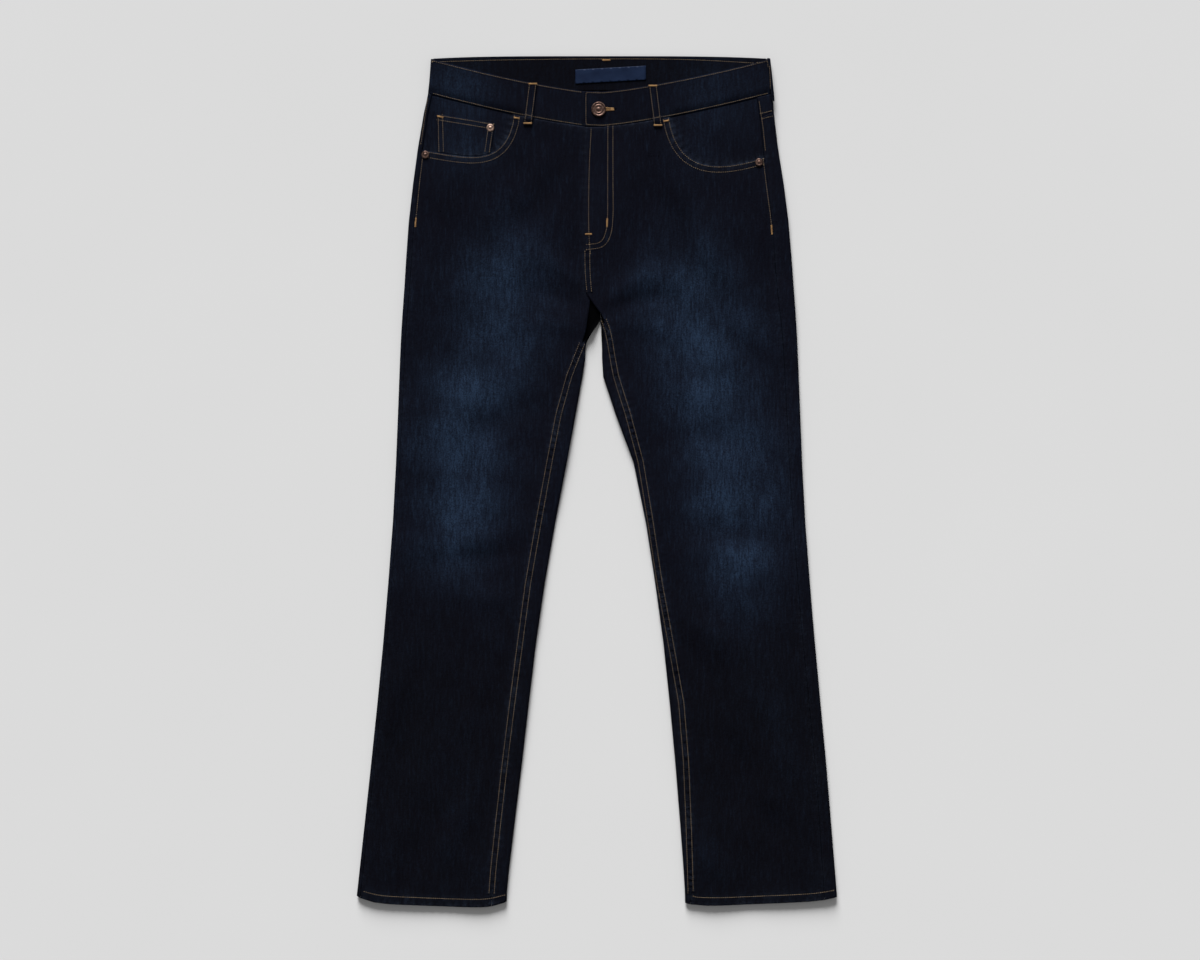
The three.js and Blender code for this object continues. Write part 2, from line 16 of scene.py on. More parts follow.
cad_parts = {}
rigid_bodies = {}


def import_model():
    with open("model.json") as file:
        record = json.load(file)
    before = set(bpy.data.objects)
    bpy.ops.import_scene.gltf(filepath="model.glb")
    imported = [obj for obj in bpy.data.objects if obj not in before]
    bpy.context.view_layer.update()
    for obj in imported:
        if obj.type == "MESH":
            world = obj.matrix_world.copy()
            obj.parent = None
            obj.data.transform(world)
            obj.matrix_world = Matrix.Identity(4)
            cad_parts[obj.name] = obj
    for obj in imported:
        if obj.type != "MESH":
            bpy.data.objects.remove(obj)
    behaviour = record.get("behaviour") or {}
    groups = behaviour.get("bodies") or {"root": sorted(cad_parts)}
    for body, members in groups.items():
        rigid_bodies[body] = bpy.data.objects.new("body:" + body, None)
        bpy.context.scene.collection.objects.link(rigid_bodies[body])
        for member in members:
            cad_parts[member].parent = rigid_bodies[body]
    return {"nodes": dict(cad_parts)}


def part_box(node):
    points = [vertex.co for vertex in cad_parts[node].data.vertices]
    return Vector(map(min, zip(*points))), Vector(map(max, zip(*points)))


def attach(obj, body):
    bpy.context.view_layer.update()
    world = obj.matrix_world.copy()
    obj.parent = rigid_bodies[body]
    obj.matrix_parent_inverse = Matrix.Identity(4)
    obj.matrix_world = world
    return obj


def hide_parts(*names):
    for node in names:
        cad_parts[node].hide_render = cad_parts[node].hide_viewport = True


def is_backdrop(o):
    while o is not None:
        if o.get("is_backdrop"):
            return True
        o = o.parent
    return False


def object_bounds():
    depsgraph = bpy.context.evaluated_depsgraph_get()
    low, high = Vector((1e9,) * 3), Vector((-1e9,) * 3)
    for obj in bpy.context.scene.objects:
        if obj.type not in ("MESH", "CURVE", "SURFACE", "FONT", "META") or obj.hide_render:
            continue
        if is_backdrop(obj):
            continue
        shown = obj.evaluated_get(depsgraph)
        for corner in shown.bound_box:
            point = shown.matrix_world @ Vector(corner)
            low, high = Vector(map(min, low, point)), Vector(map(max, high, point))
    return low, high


MM = 0.001
for default in list(bpy.data.objects):
    bpy.data.objects.remove(default)
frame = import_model()
CAD_LOW, CAD_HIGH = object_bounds()
NODES = frame["nodes"]
SIDES = {"right": -1, "left": 1}

# ---- Sizes of the sewing ----
STITCH_PITCH = 2.7 * MM
STITCH_LENGTH = STITCH_PITCH * 0.62
THREAD_RADIUS = 0.31 * MM
TACK_PITCH = 0.48 * MM
TACK_LENGTH = 2.2 * MM
TACK_RADIUS = THREAD_RADIUS * 0.9
EDGE_STITCH = 1.7 * MM  # from a piece's edge to the row of stitches beside it
DOUBLE_ROW = 6.5 * MM  # between the rows of a double topstitch
FELL_WIDTH = 10.5 * MM  # a felled seam's raised band
FELL_RISE = 0.55 * MM
PRESSED_RISE = 0.12 * MM  # and its rise where the jeans lie on it
PUCKER_WAVE = 9.5 * MM
PUCKER_RISE = 0.42 * MM
PUCKER_REACH = 7 * MM
WEAR_REACH = 3.2 * MM
HEM_DEPTH = 9.5 * MM
HIP_ROW = 85 * MM  # length of the row beside the outseam at the hip
HIP_TACK = 11 * MM  # and of the bartack that ends it
INSEAM_SHORT = 3 * MM  # how far the inseam's sewing stops from its end
FLY_LAP = 8 * MM

# ---- Steps and edges of the meshes ----
WELD = 0.01 * MM  # points closer than this are one
FACING = 0.7  # least upright part of the normal of an upper or lower face
LINE_STEP = 3 * MM
FINE_STEP = 2 * MM
SPAN_POINTS = 12  # on a curve, from one of its points to the next
RAY_START = 60 * MM  # clear of the jeans on both sides
# The longest edge away from every seam, and the longest beside one
LARGE_EDGES = (7 * MM, 2.6 * MM)
SMALL_EDGES = (3.4 * MM, 2.0 * MM)
LABEL_EDGES = (4 * MM, 2 * MM)


def smooth(value, low, high):
    t = np.clip((value - low) / (high - low), 0, 1)
    return t * t * (3 - 2 * t)


def plan(path):
    return np.asarray(path)[:, :2]


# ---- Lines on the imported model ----
def rim(node, up=True, near=None):
    """The outline of the node's largest upper or lower face, or of the one at a point, in order."""
    bm = bmesh.new()
    bm.from_mesh(NODES[node].data)
    bmesh.ops.remove_doubles(bm, verts=bm.verts, dist=WELD)
    bm.normal_update()
    facing = {f: None for f in bm.faces if (f.normal.z if up else -f.normal.z) > FACING}
    patches = []
    while facing:
        patch, queue = {}, [facing.popitem()[0]]
        while queue:
            face = queue.pop()
            patch[face] = None
            for joined in [f for e in face.edges for f in e.link_faces if f in facing]:
                if joined in facing:
                    del facing[joined]
                    queue.append(joined)
        patches.append(patch)
    if near is None:
        best = max(patches, key=lambda patch: sum(f.calc_area() for f in patch))
    else:
        spot = Vector(near)
        best = min(patches, key=lambda patch: min((f.calc_center_median() - spot).length for f in patch))
    follow = {}
    for face in best:
        for loop in face.loops:
            if not any(f in best for f in loop.edge.link_faces if f is not face):
                follow[loop.vert] = loop.link_loop_next.vert
    outlines = []
    while follow:
        start, after = next(iter(follow.items()))
        outline = [start]
        del follow[start]
        while after in follow:
            outline.append(after)
            after = follow.pop(after)
        outlines.append([tuple(v.co) for v in outline])
    longest = max(outlines, key=len)
    bm.free()
    return np.array(longest)


def between(outline, start, end):
    """The shorter stretch of an outline from the point nearest start to the one nearest end."""
    flat = outline[:, :2]
    first, last = (int(np.argmin(((flat - p) ** 2).sum(1))) for p in (start, end))
    count = len(outline)
    forward = outline[[(first + k) % count for k in range((last - first) % count + 1)]]
    backward = outline[[(first - k) % count for k in range((first - last) % count + 1)]]
    return min(forward, backward, key=lambda path: measured(path)[-1])


def measured(path):
    """Distance along a path at each of its points."""
    return np.concatenate([[0], np.cumsum(np.linalg.norm(np.diff(path, axis=0), axis=1))])


def spaced(path, step, start=0.0, end=None):
    """Points at equal steps along a path, between two distances along it."""
    path = np.asarray(path, float)
    at = measured(path)
    end = at[-1] if end is None else end
    places = np.linspace(start, end, max(2, round((end - start) / step) + 1))
    return np.stack([np.interp(places, at, path[:, k]) for k in range(path.shape[1])], axis=1)


def moved(path, aside):
    """A path moved sideways in plan, to its left where aside is positive."""
    path = np.asarray(path, float)
    along = np.gradient(path[:, :2], axis=0)
    along /= np.linalg.norm(along, axis=1)[:, None] + 1e-12
    out = path.copy()
    out[:, 0] -= along[:, 1] * aside
    out[:, 1] += along[:, 0] * aside
    return out


def curve(points):
    """A smooth path through a few points in plan."""
    points = np.asarray(points, float)
    slopes = np.gradient(points, axis=0)
    out = []
    for k in range(len(points) - 1):
        t = np.linspace(0, 1, SPAN_POINTS, endpoint=k == len(points) - 2)[:, None]
        out.append(
            points[k] * (1 + 2 * t) * (1 - t) ** 2
            + slopes[k] * t * (1 - t) ** 2
            + points[k + 1] * t * t * (3 - 2 * t)
            + slopes[k + 1] * t * t * (t - 1)
        )
    return spaced(np.concatenate(out), FINE_STEP)


# Where the lines of a side are looked for, on the front's outline
HIP_ABOVE = 380 * MM
MOUTH_OVER_HIP = 20 * MM  # least height of the pocket mouth
FLY_HALF_WIDTH = 18 * MM
HEM_REACH = 30 * MM  # the hem's corners are this near the lowest point
CROTCH = {"right": 178 * MM, "left": 204 * MM}  # Y where each inseam comes out of the crotch


class Side:
    """The lines of one side of the jeans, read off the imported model."""

    def __init__(self, name):
        sign = SIDES[name]
        self.name, self.sign = name, sign
        front = rim(f"front_{name}")
        lowest = front[:, 1].min()

        def extreme(points, across, up):
            return points[np.argmax(points[:, 0] * sign * across + points[:, 1] * up)][:2]

        hip = extreme(front[front[:, 1] > HIP_ABOVE], 1, 0)
        mouth_top = extreme(front[front[:, 1] > hip[1] + MOUTH_OVER_HIP], 1, 1)
        fly_top = extreme(front[np.abs(front[:, 0]) < FLY_HALF_WIDTH], -0.2, 1)
        hem = front[front[:, 1] < lowest + HEM_REACH]
        hem_outer, hem_inner = extreme(hem, 1, 0), extreme(hem, -1, 0)
        self.mouth = between(front, mouth_top, hip)
        self.waist = between(front, fly_top, mouth_top)
        self.outseam = between(front, hip, hem_outer)
        self.hem = between(front, hem_outer, hem_inner)
        inner = between(front, fly_top, hem_inner)
        self.inseam = inner[inner[:, 1] < CROTCH[name]]


sides = {name: Side(name) for name in SIDES}

yoke_seams = {}
for name, sign in SIDES.items():
    outline = rim(f"back_{name}", up=False)
    outer = outline[np.argmax(outline[:, 0] * sign + outline[:, 1])]
    centre = outline[np.argmax(outline[:, 1] - 2 * outline[:, 0] * sign)]
    yoke_seams[name] = between(outline, centre[:2], outer[:2])
FLY_EDGE = sides["right"].waist[0, 0] - FLY_LAP
SEAT_SEAM = curve([(8 * MM, 440 * MM), (7 * MM, 330 * MM), (4.8 * MM, 212 * MM)])
CENTRE_SEAM = curve([(-12 * MM, 291 * MM), (-11.5 * MM, 262 * MM), (-9.5 * MM, 236 * MM)])


# ---- The cloth's relief ----
# Soft folds on the front: start, end, the bow of the middle, the width, and the rise, which is
# negative for a trough. Millimetres.
FOLDS = [
    # crotch and lap
    ((69, 397), (176, 196), -14, 13, -2.0),
    ((98, 392), (206, 190), -12, 17, 1.6),
    ((160, 190), (206, 120), 6, 10, -1.5),
    ((12, 226), (96, 262), 8, 9, 1.3),
    ((16, 214), (112, 226), 7, 8, -1.3),
    ((20, 196), (104, 182), 5, 9, 1.1),
    ((-14, 236), (-92, 286), -8, 9, 1.2),
    ((-18, 214), (-124, 240), -9, 9, -1.4),
    ((-22, 190), (-118, 196), -5, 9, 1.1),
    ((-60, 410), (-150, 330), 12, 14, 1.2),
    ((-40, 392), (-120, 300), 9, 12, -1.1),
    ((-200, 330), (-232, 210), 8, 12, 1.3),
    ((216, 330), (236, 250), -4, 9, -1.2),
    # thighs
    ((-96, 150), (-190, 92), 9, 15, 1.2),
    ((-72, 96), (-176, 36), -7, 13, -1.2),
    ((-230, 120), (-238, -20), 5, 10, 1.2),
    ((84, 120), (180, 66), 8, 14, 1.3),
    ((96, 62), (222, 24), 7, 12, -1.1),
    ((232, 92), (240, -60), -4, 9, 1.1),
    # knees
    ((-92, -54), (-226, -82), 10, 13, 1.4),
    ((-98, -92), (-240, -110), -6, 11, -1.3),
    ((-104, -142), (-206, -128), 8, 12, 1.1),
    ((94, -48), (238, -66), -8, 13, -1.3),
    ((98, -90), (216, -116), 9, 12, 0.8),
    ((116, -169), (180, -233), 5, 12, 1.5),
    ((100, -196), (150, -262), 5, 9, -1.1),
    # shins
    ((-128, -200), (-182, -330), 8, 12, 1.2),
    ((-214, -212), (-252, -402), -7, 12, -1.3),
    ((-148, -372), (-212, -486), 6, 12, 1.3),
    ((-250, -420), (-262, -500), 3, 8, 1.0),
    ((222, -240), (252, -380), -7, 13, 1.3),
    ((150, -300), (192, -430), 8, 11, -1.3),
    ((200, -400), (226, -452), 4, 14, -1.4),
    ((132, -420), (150, -500), -3, 10, 1.2),
]
# The same on the back, where a fold can only stand off the surface the jeans lie on.
BACK_FOLDS = [
    ((20, 220), (130, 268), 8, 11, 1.3),
    ((-16, 214), (-126, 250), -8, 11, 1.4),
    ((24, 188), (150, 190), 8, 9, 1.1),
    ((-30, 176), (-140, 196), -7, 10, 1.2),
    ((-96, -60), (-220, -84), 7, 11, 1.4),
    ((-104, -104), (-238, -96), -7, 9, 1.1),
    ((96, -52), (230, -80), 8, 11, 1.3),
    ((104, -112), (214, -104), 5, 10, 1.2),
    ((-150, -250), (-214, -400), 9, 12, 1.1),
    ((150, -240), (206, -420), -8, 12, 1.2),
]
# Broad sags and swells: waves of (across, along) cycles in a metre, a phase and a rise in millimetres.
SWELLS = [
    ((7.1, 2.3), 0.4, 0.45),
    ((-4.3, 6.7), 1.9, 0.40),
    ((13.7, -5.9), 3.1, 0.22),
    ((9.9, 17.3), 5.0, 0.16),
]
FOLD_DEPTH = 1.25  # of the front's folds, for each millimetre of rise in the list
LOWEST_TROUGH = 2.4 * MM


def relief(points, folds):
    """Height of the folds at points in plan: each widens from its start and fades to both ends."""
    height = np.zeros(len(points))
    for start, end, bow, width, rise in folds:
        start, end = np.array(start) * MM, np.array(end) * MM
        run = end - start
        length = np.linalg.norm(run)
        run /= length
        across = np.array([-run[1], run[0]])
        t = (points - start) @ run / length
        middle = 1 - (2 * np.clip(t, 0, 1) - 1) ** 2
        off = (points - start) @ across - bow * MM * middle
        past = np.maximum(0, np.abs(t - 0.5) - 0.5) * length
        broad = width * MM * (0.75 + 0.5 * np.clip(t, 0, 1))
        fade = 0.25 + 0.75 * middle
        height += rise * MM * fade * np.exp(-(off**2 + past**2) / (2 * broad**2))
    return height


def swell(points):
    height = np.zeros(len(points))
    for wave, phase, rise in SWELLS:
        cycles = points @ np.array(wave) + phase
        height += rise * MM * np.sin(2 * math.pi * cycles)
    return height


SEAM_SAMPLE = 1.5 * MM
SEAM_SHIFT = 0.37  # added to a seam's distances for each seam before it, so no two pucker alike


class Seams:
    """The sewn lines on one face of the jeans, each with how worn it is.

    It finds the distance to the nearest, the distance along it and its wear.
    """

    def __init__(self, paths):
        samples = []
        for number, (path, worn) in enumerate(paths):
            points = spaced(plan(path), SEAM_SAMPLE)
            for point, distance in zip(points, measured(points)):
                samples.append((point[0], point[1], distance + SEAM_SHIFT * number, worn))
        self.tree = KDTree(len(samples))
        self.facts = [row[2:] for row in samples]
        for k, row in enumerate(samples):
            self.tree.insert((row[0], row[1], 0), k)
        self.tree.balance()

    def near(self, x, y):
        _, index, gap = self.tree.find((x, y, 0))
        return gap, *self.facts[index]


# How much each line of the front puckers and wears. On the back all but the hems do so fully.
WORN = {"mouth": 1.0, "waist": 0.7, "outseam": 0.22, "inseam": 0.9, "centre": 0.8, "fly": 0.35}
HEM_WORN, HEM_FOLD_WORN = 0.8, 0.5
FLY_TOP, FLY_END = 440 * MM, 235 * MM
top_paths, under_paths = [], [(SEAT_SEAM, 1.0)]
for s in sides.values():
    hem_fold = spaced(s.hem, FINE_STEP)
    hem_fold[:, 1] += HEM_DEPTH
    hems = [(s.hem, HEM_WORN), (hem_fold, HEM_FOLD_WORN)]
    top_paths += [(getattr(s, line), WORN[line]) for line in ("mouth", "waist", "outseam", "inseam")]
    top_paths += hems
    low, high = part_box(f"back_pocket_{s.name}")
    corners = [(low.x, low.y), (high.x, low.y), (high.x, high.y), (low.x, high.y), (low.x, low.y)]
    under_paths += [(yoke_seams[s.name], 1.0), (np.array(corners), 1.0)] + hems
top_paths.append((CENTRE_SEAM, WORN["centre"]))
top_paths.append((np.array([(FLY_EDGE, FLY_TOP), (FLY_EDGE, FLY_END)]), WORN["fly"]))
TOP_SEAMS, UNDER_SEAMS = Seams(top_paths), Seams(under_paths)


# ---- Cloth pieces ----
HALVINGS = 9
FINE_REACH = 9 * MM  # from a seam, where edges are all fine
COARSE_REACH = 25 * MM  # and from there to where they are all coarse


def cut_finer(bm, coarse, fine):
    """Halves every edge that is too long for where it is, beside a seam or away from one."""
    for _ in range(HALVINGS):
        long = []
        for edge in bm.edges:
            a, b = edge.verts[0].co, edge.verts[1].co
            length = (a - b).length
            if length <= fine:
                continue
            middle = (a + b) / 2
            gap = min(TOP_SEAMS.near(middle.x, middle.y)[0], UNDER_SEAMS.near(middle.x, middle.y)[0])
            limit = fine + (coarse - fine) * min(1, max(0, (gap - FINE_REACH) / COARSE_REACH))
            if length > limit:
                long.append(edge)
        if not long:
            return
        bmesh.ops.subdivide_edges(bm, edges=long, cuts=1)
        bmesh.ops.triangulate(bm, faces=[f for f in bm.faces if len(f.verts) > 3])


# The jeans' lower and upper faces at the waist, how far they drop to the legs', and between which
# distances below the waist. Millimetres.
UNDER_AT_WAIST, UNDER_FALLS = 1.8, (310, 400)
TOP_AT_WAIST, TOP_DROP, TOP_FALLS = 8.1, 1.9, (120, 400)


def levels_at(y):
    """Heights of the under face and the front's outer face of the laid jeans, at a Y."""
    down = (CAD_HIGH.y - y) / MM
    under = UNDER_AT_WAIST * (1 - smooth(down, *UNDER_FALLS))
    top = TOP_AT_WAIST - TOP_DROP * smooth(down, *TOP_FALLS)
    return under * MM, top * MM


OFF_UNDER, OFF_TOP = 1.3 * MM, 1.25 * MM  # in from the faces, where only one face's folds count
SEAM_REACH = 30 * MM  # no seam puckers the cloth farther off
# How far the puckers drift from an even wave, and how fast along and across, in radians and metres
DRIFT, DRIFT_ALONG, DRIFT_ACROSS = 2.6, 31, 9
WEAR_EVEN, WEAR_ON_PUCKERS = 0.55, 0.2
CALM_ENDS = 40 * MM, 110 * MM  # below the waist, where the folds come up to their full height
CALM_SHARE = 0.25  # of the front's folds at the waist itself


def creased(points):
    """A cloth piece's points with their folds and puckers, their seam wear and the folds' height."""
    flat = points[:, :2]
    under, top = levels_at(points[:, 1])
    share = smooth(points[:, 2], under + OFF_UNDER, top - OFF_TOP)
    lift_top = np.maximum(-LOWEST_TROUGH, FOLD_DEPTH * relief(flat, FOLDS) + swell(flat))
    lift_under = np.maximum(0, relief(flat, BACK_FOLDS))
    wear = np.zeros(len(points))
    pucker = np.zeros(len(points))
    for k, (x, y) in enumerate(flat):
        seams = TOP_SEAMS if share[k] > 0.5 else UNDER_SEAMS
        gap, along, worn = seams.near(x, y)
        if gap > SEAM_REACH:
            continue
        drift = DRIFT * math.sin(along * DRIFT_ALONG + DRIFT_ACROSS * x)
        wave = math.sin(2 * math.pi * along / PUCKER_WAVE + drift)
        pucker[k] = worn * PUCKER_RISE * math.exp(-gap / PUCKER_REACH) * wave
        wear[k] = worn * math.exp(-gap / WEAR_REACH) * (WEAR_EVEN + WEAR_ON_PUCKERS * wave)
    out = points.copy()
    calm = smooth(CAD_HIGH.y - points[:, 1], *CALM_ENDS)
    out[:, 2] += share * (lift_top * (CALM_SHARE + (1 - CALM_SHARE) * calm) + pucker)
    out[:, 2] += (1 - share) * (lift_under + 0.5 * (pucker + PUCKER_RISE)) * calm
    return out, wear, share * lift_top


# Where the cloth is faded: each patch's middle and half width in millimetres, and its strength.
FADES = [
    ((-102, 292), 38, 0.26),
    ((-116, 246), 44, 0.62),
    ((-126, 185), 47, 0.56),
    ((-154, 110), 45, 0.74),
    ((-167, 45), 43, 0.84),
    ((-171, -25), 41, 0.74),
    ((-180, -86), 40, 0.38),
    ((96, 290), 32, 0.20),
    ((114, 238), 43, 0.72),
    ((130, 180), 48, 0.92),
    ((146, 105), 46, 0.78),
    ((164, 40), 45, 0.80),
    ((176, -30), 44, 0.88),
    ((180, -92), 42, 0.60),
    ((186, -145), 34, 0.26),
    ((-168, 484), 34, 0.30),
    ((150, 488), 44, 0.20),
    ((-166, 424), 32, 0.22),
    ((128, 410), 26, 0.10),
]
# The same on the back, which is hidden: the seat and the backs of the thighs.
BACK_FADES = [
    ((-112, 268), 58, 0.45),
    ((114, 268), 58, 0.45),
    ((-152, 40), 48, 0.35),
    ((150, 40), 48, 0.35),
]
FADE_SPREAD = 1.3
BLUE_FROM, BLUE_TO = -300 * MM, -20 * MM  # Y between which the cloth turns from near black to blue


def faded(points, spots=FADES):
    """How far the cloth is faded at points in plan, and how far it keeps its blue."""
    fade = np.zeros(len(points))
    for middle, width, strength in spots:
        off = (points - np.array(middle) * MM) / (width * MM)
        fade = np.maximum(fade, strength * np.exp(-(off**2).sum(1) / FADE_SPREAD))
    blue = smooth(points[:, 1], BLUE_FROM, BLUE_TO)
    return fade, blue


# The waistband's two ends as they lie, the left lapped over the right
BAND_OVER = rim("waistband", near=(80 * MM, 455 * MM, 9 * MM))
BAND_UNDER = rim("waistband", near=(-120 * MM, 462 * MM, 9 * MM))
BAND_SINK = 0.75 * MM
BAND_SINK_REACH = 5.5 * MM
BAND_SINK_ABOVE = 6 * MM  # only the front of the waistband lies this high
POCKET_SINK = 1.0 * MM  # more over the pocket mouths, where the cloth beneath is thinner
POCKET_ENDS = 80 * MM, 104 * MM  # from the middle, where a mouth's share of that comes in
lower = []
for outline in (BAND_OVER, BAND_UNDER):
    west = outline[np.argmin(outline[:, 0] + 0.3 * outline[:, 1])]
    east = outline[np.argmax(outline[:, 0] - 0.3 * outline[:, 1])]
    lower.append((between(outline, west[:2], east[:2]), 1.0))
BAND_SEAM = Seams(lower)


def bedded(points):
    """How far the waistband's front sinks on to the panels along its lower edge."""
    sink = np.zeros(len(points))
    for k, (x, y, z) in enumerate(points):
        if z > BAND_SINK_ABOVE:
            gap = BAND_SEAM.near(x, y)[0]
            over_pocket = smooth(abs(x), *POCKET_ENDS)
            sink[k] = (BAND_SINK + POCKET_SINK * over_pocket) * math.exp(-((gap / BAND_SINK_REACH) ** 2))
    return sink


made = {}
CLOTH_ANGLE, THREAD_ANGLE, METAL_ANGLE = 38, 80, 50  # degrees above which an edge stays sharp


def shade(obj, angle=CLOTH_ANGLE):
    obj.data.polygons.foreach_set("use_smooth", [True] * len(obj.data.polygons))
    obj.data.set_sharp_from_angle(angle=math.radians(angle))


def add_object(name, mesh, material):
    obj = bpy.data.objects.new(name, mesh)
    bpy.context.scene.collection.objects.link(obj)
    mesh.materials.append(material)
    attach(obj, "root")
    made[name] = obj
    return obj


FOLD_FADE_LIGHT_AND_SHADE = 130.0  # how much more a ridge fades, and how much less a trough, than the cloth about it, for each metre of its height: wear with painted highlight on the crests, painted shade in the troughs
RIDGE_FADE_AND_LIGHT = 28.0  # and how much a ridge fades where nothing else does: wear with painted highlight
FRONT_HEIGHTS = 2 * MM, 5 * MM  # between which the back's fades give way to the front's
# The back of the waistband, seen inside it, is in the shade. It lies between these heights.
BAND_INSIDE_FROM, BAND_INSIDE_TO = (2.4 * MM, 3.2 * MM), (4.6 * MM, 6 * MM)
# So is the pocket of cloth between the legs: its middle, its reach and its heights.
CROTCH_HOLLOW = (-5 * MM, 206 * MM)
HOLLOW_REACH, HOLLOW_HEIGHTS = (26 * MM, 40 * MM), (1.4 * MM, 2.4 * MM)


def add_values(mesh, **named):
    """Puts named values on a mesh's points, for its material to read."""
    for name, values in named.items():
        mesh.attributes.new(name, "FLOAT", "POINT").data.foreach_set("value", values)


def cloth(node, material, edges):
    """A cloth piece on its solid's form, with its creases, and as attributes its fade and wear, painted
    highlight and painted shade on its folds, and painted shade in the hollows.
    """
    bm = bmesh.new()
    bm.from_mesh(NODES[node].data)
    bmesh.ops.remove_doubles(bm, verts=bm.verts, dist=WELD)
    cut_finer(bm, *edges)
    mesh = bpy.data.meshes.new("cloth_" + node)
    bm.to_mesh(mesh)
    bm.free()
    points = np.zeros(3 * len(mesh.vertices))
    mesh.vertices.foreach_get("co", points)
    points, wear, height = creased(points.reshape(-1, 3))
    if node == "waistband":
        points[:, 2] -= bedded(points)
    mesh.vertices.foreach_set("co", points.ravel())
    mesh.update()
    fade, blue = faded(points[:, :2])
    # The folds: ridges lighter from wear and painted highlight, troughs darker from painted shade.
    fade = fade * (1 + FOLD_FADE_LIGHT_AND_SHADE * height) + RIDGE_FADE_AND_LIGHT * np.maximum(0, height)
    front = smooth(points[:, 2], *FRONT_HEIGHTS)
    fade = front * fade + (1 - front) * faded(points[:, :2], BACK_FADES)[0]
    # Painted shade: the back of the waistband, seen inside it, loses its blue and turns to the darkest
    # indigo.
    if node == "waistband":
        inside = smooth(points[:, 2], *BAND_INSIDE_FROM)
        inside *= 1 - smooth(points[:, 2], *BAND_INSIDE_TO)
        blue *= 1 - inside
    # Painted shade: the back panels go towards near black in the hollow between the legs.
    deep = np.zeros(len(points))
    if node in ("back_right", "back_left"):
        deep = 1 - smooth(np.linalg.norm(points[:, :2] - CROTCH_HOLLOW, axis=1), *HOLLOW_REACH)
        deep *= smooth(points[:, 2], *HOLLOW_HEIGHTS)
    add_values(mesh, wear=wear, fade=fade, blue=blue, deep=deep)
    obj = add_object("cloth_" + node, mesh, material)
    shade(obj)
    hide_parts(node)


# ---- Materials ----
class Shader:
    """A node material whose nodes are added one call at a time."""

    def __init__(self, name, roughness, specular, metallic=0.0):
        self.material = bpy.data.materials.new(name)
        self.material.use_nodes = True
        self.nodes = self.material.node_tree.nodes
        self.links = self.material.node_tree.links
        self.surface = self.nodes["Principled BSDF"]
        self.surface.inputs["Roughness"].default_value = roughness
        self.surface.inputs["Specular IOR Level"].default_value = specular
        self.surface.inputs["Metallic"].default_value = metallic
        self.place = self.nodes.new("ShaderNodeTexCoord").outputs["Object"]

    def set(self, socket, value):
        if isinstance(value, bpy.types.NodeSocket):
            self.links.new(value, socket)
        else:
            socket.default_value = value

    def add(self, kind, output, inputs, **settings):
        node = self.nodes.new(kind)
        for key, value in settings.items():
            setattr(node, key, value)
        for key, value in inputs.items():
            self.set(node.inputs[key], value)
        return node.outputs[output]

    def stretched(self, scale, turn=0.0):
        inputs = {"Vector": self.place, "Scale": scale, "Rotation": (0, 0, turn)}
        return self.add("ShaderNodeMapping", "Vector", inputs)

    def noise(self, scale, detail=3.0, rough=0.55, turn=0.0):
        inputs = {"Vector": self.stretched(scale, turn), "Scale": 1.0, "Detail": detail}
        inputs["Roughness"] = rough
        return self.add("ShaderNodeTexNoise", "Fac", inputs)

    def attribute(self, name):
        return self.add("ShaderNodeAttribute", "Fac", {}, attribute_name=name)

    def band(self, value, low, high, out_low=0.0, out_high=1.0):
        inputs = {"Value": value, "From Min": low, "From Max": high}
        inputs.update({"To Min": out_low, "To Max": out_high})
        return self.add("ShaderNodeMapRange", "Result", inputs)

    def times(self, a, b):
        return self.add("ShaderNodeMath", "Value", {0: a, 1: b}, operation="MULTIPLY")

    def mix(self, share, a, b):
        node = self.nodes.new("ShaderNodeMix")
        node.data_type = "RGBA"
        self.set(node.inputs["Factor"], share)
        self.set(node.inputs["A"], a)
        self.set(node.inputs["B"], b)
        return node.outputs["Result"]

    def bump(self, height, depth, before=None):
        inputs = {"Height": height, "Distance": depth, "Strength": 1.0}
        if before is not None:
            inputs["Normal"] = before
        return self.add("ShaderNodeBump", "Normal", inputs)

    def done(self, colour, normal):
        self.set(self.surface.inputs["Base Color"], colour)
        self.set(self.surface.inputs["Normal"], normal)
        return self.material


INDIGO_DARK = (0.0030, 0.0028, 0.0044, 1)
INDIGO = (0.0037, 0.0037, 0.0068, 1)
INDIGO_FADED = (0.0165, 0.0300, 0.0580, 1)
INDIGO_WORN = (0.034, 0.046, 0.070, 1)
# Near black, for painted shade.
SHADED = (0.0008, 0.0008, 0.0012, 1)
RIB_SCALE = 57.5  # a faint rib each 5.5 mm
RIB_LEAN = math.radians(27)
RIB_DEPTH, STREAK_DEPTH, CREPE_DEPTH = 0.05 * MM, 0.10 * MM, 0.45 * MM
# The denim's patterns: how often each turns in a metre across, along and through the cloth
STREAK = (400, 52, 52)
FINE_STREAK = (1250, 240, 240)
CLOUD = (26, 13, 26)
GRAIN = (620, 620, 620)
BLOTCH = (95, 60, 80)
CREPE = (150, 110, 150)


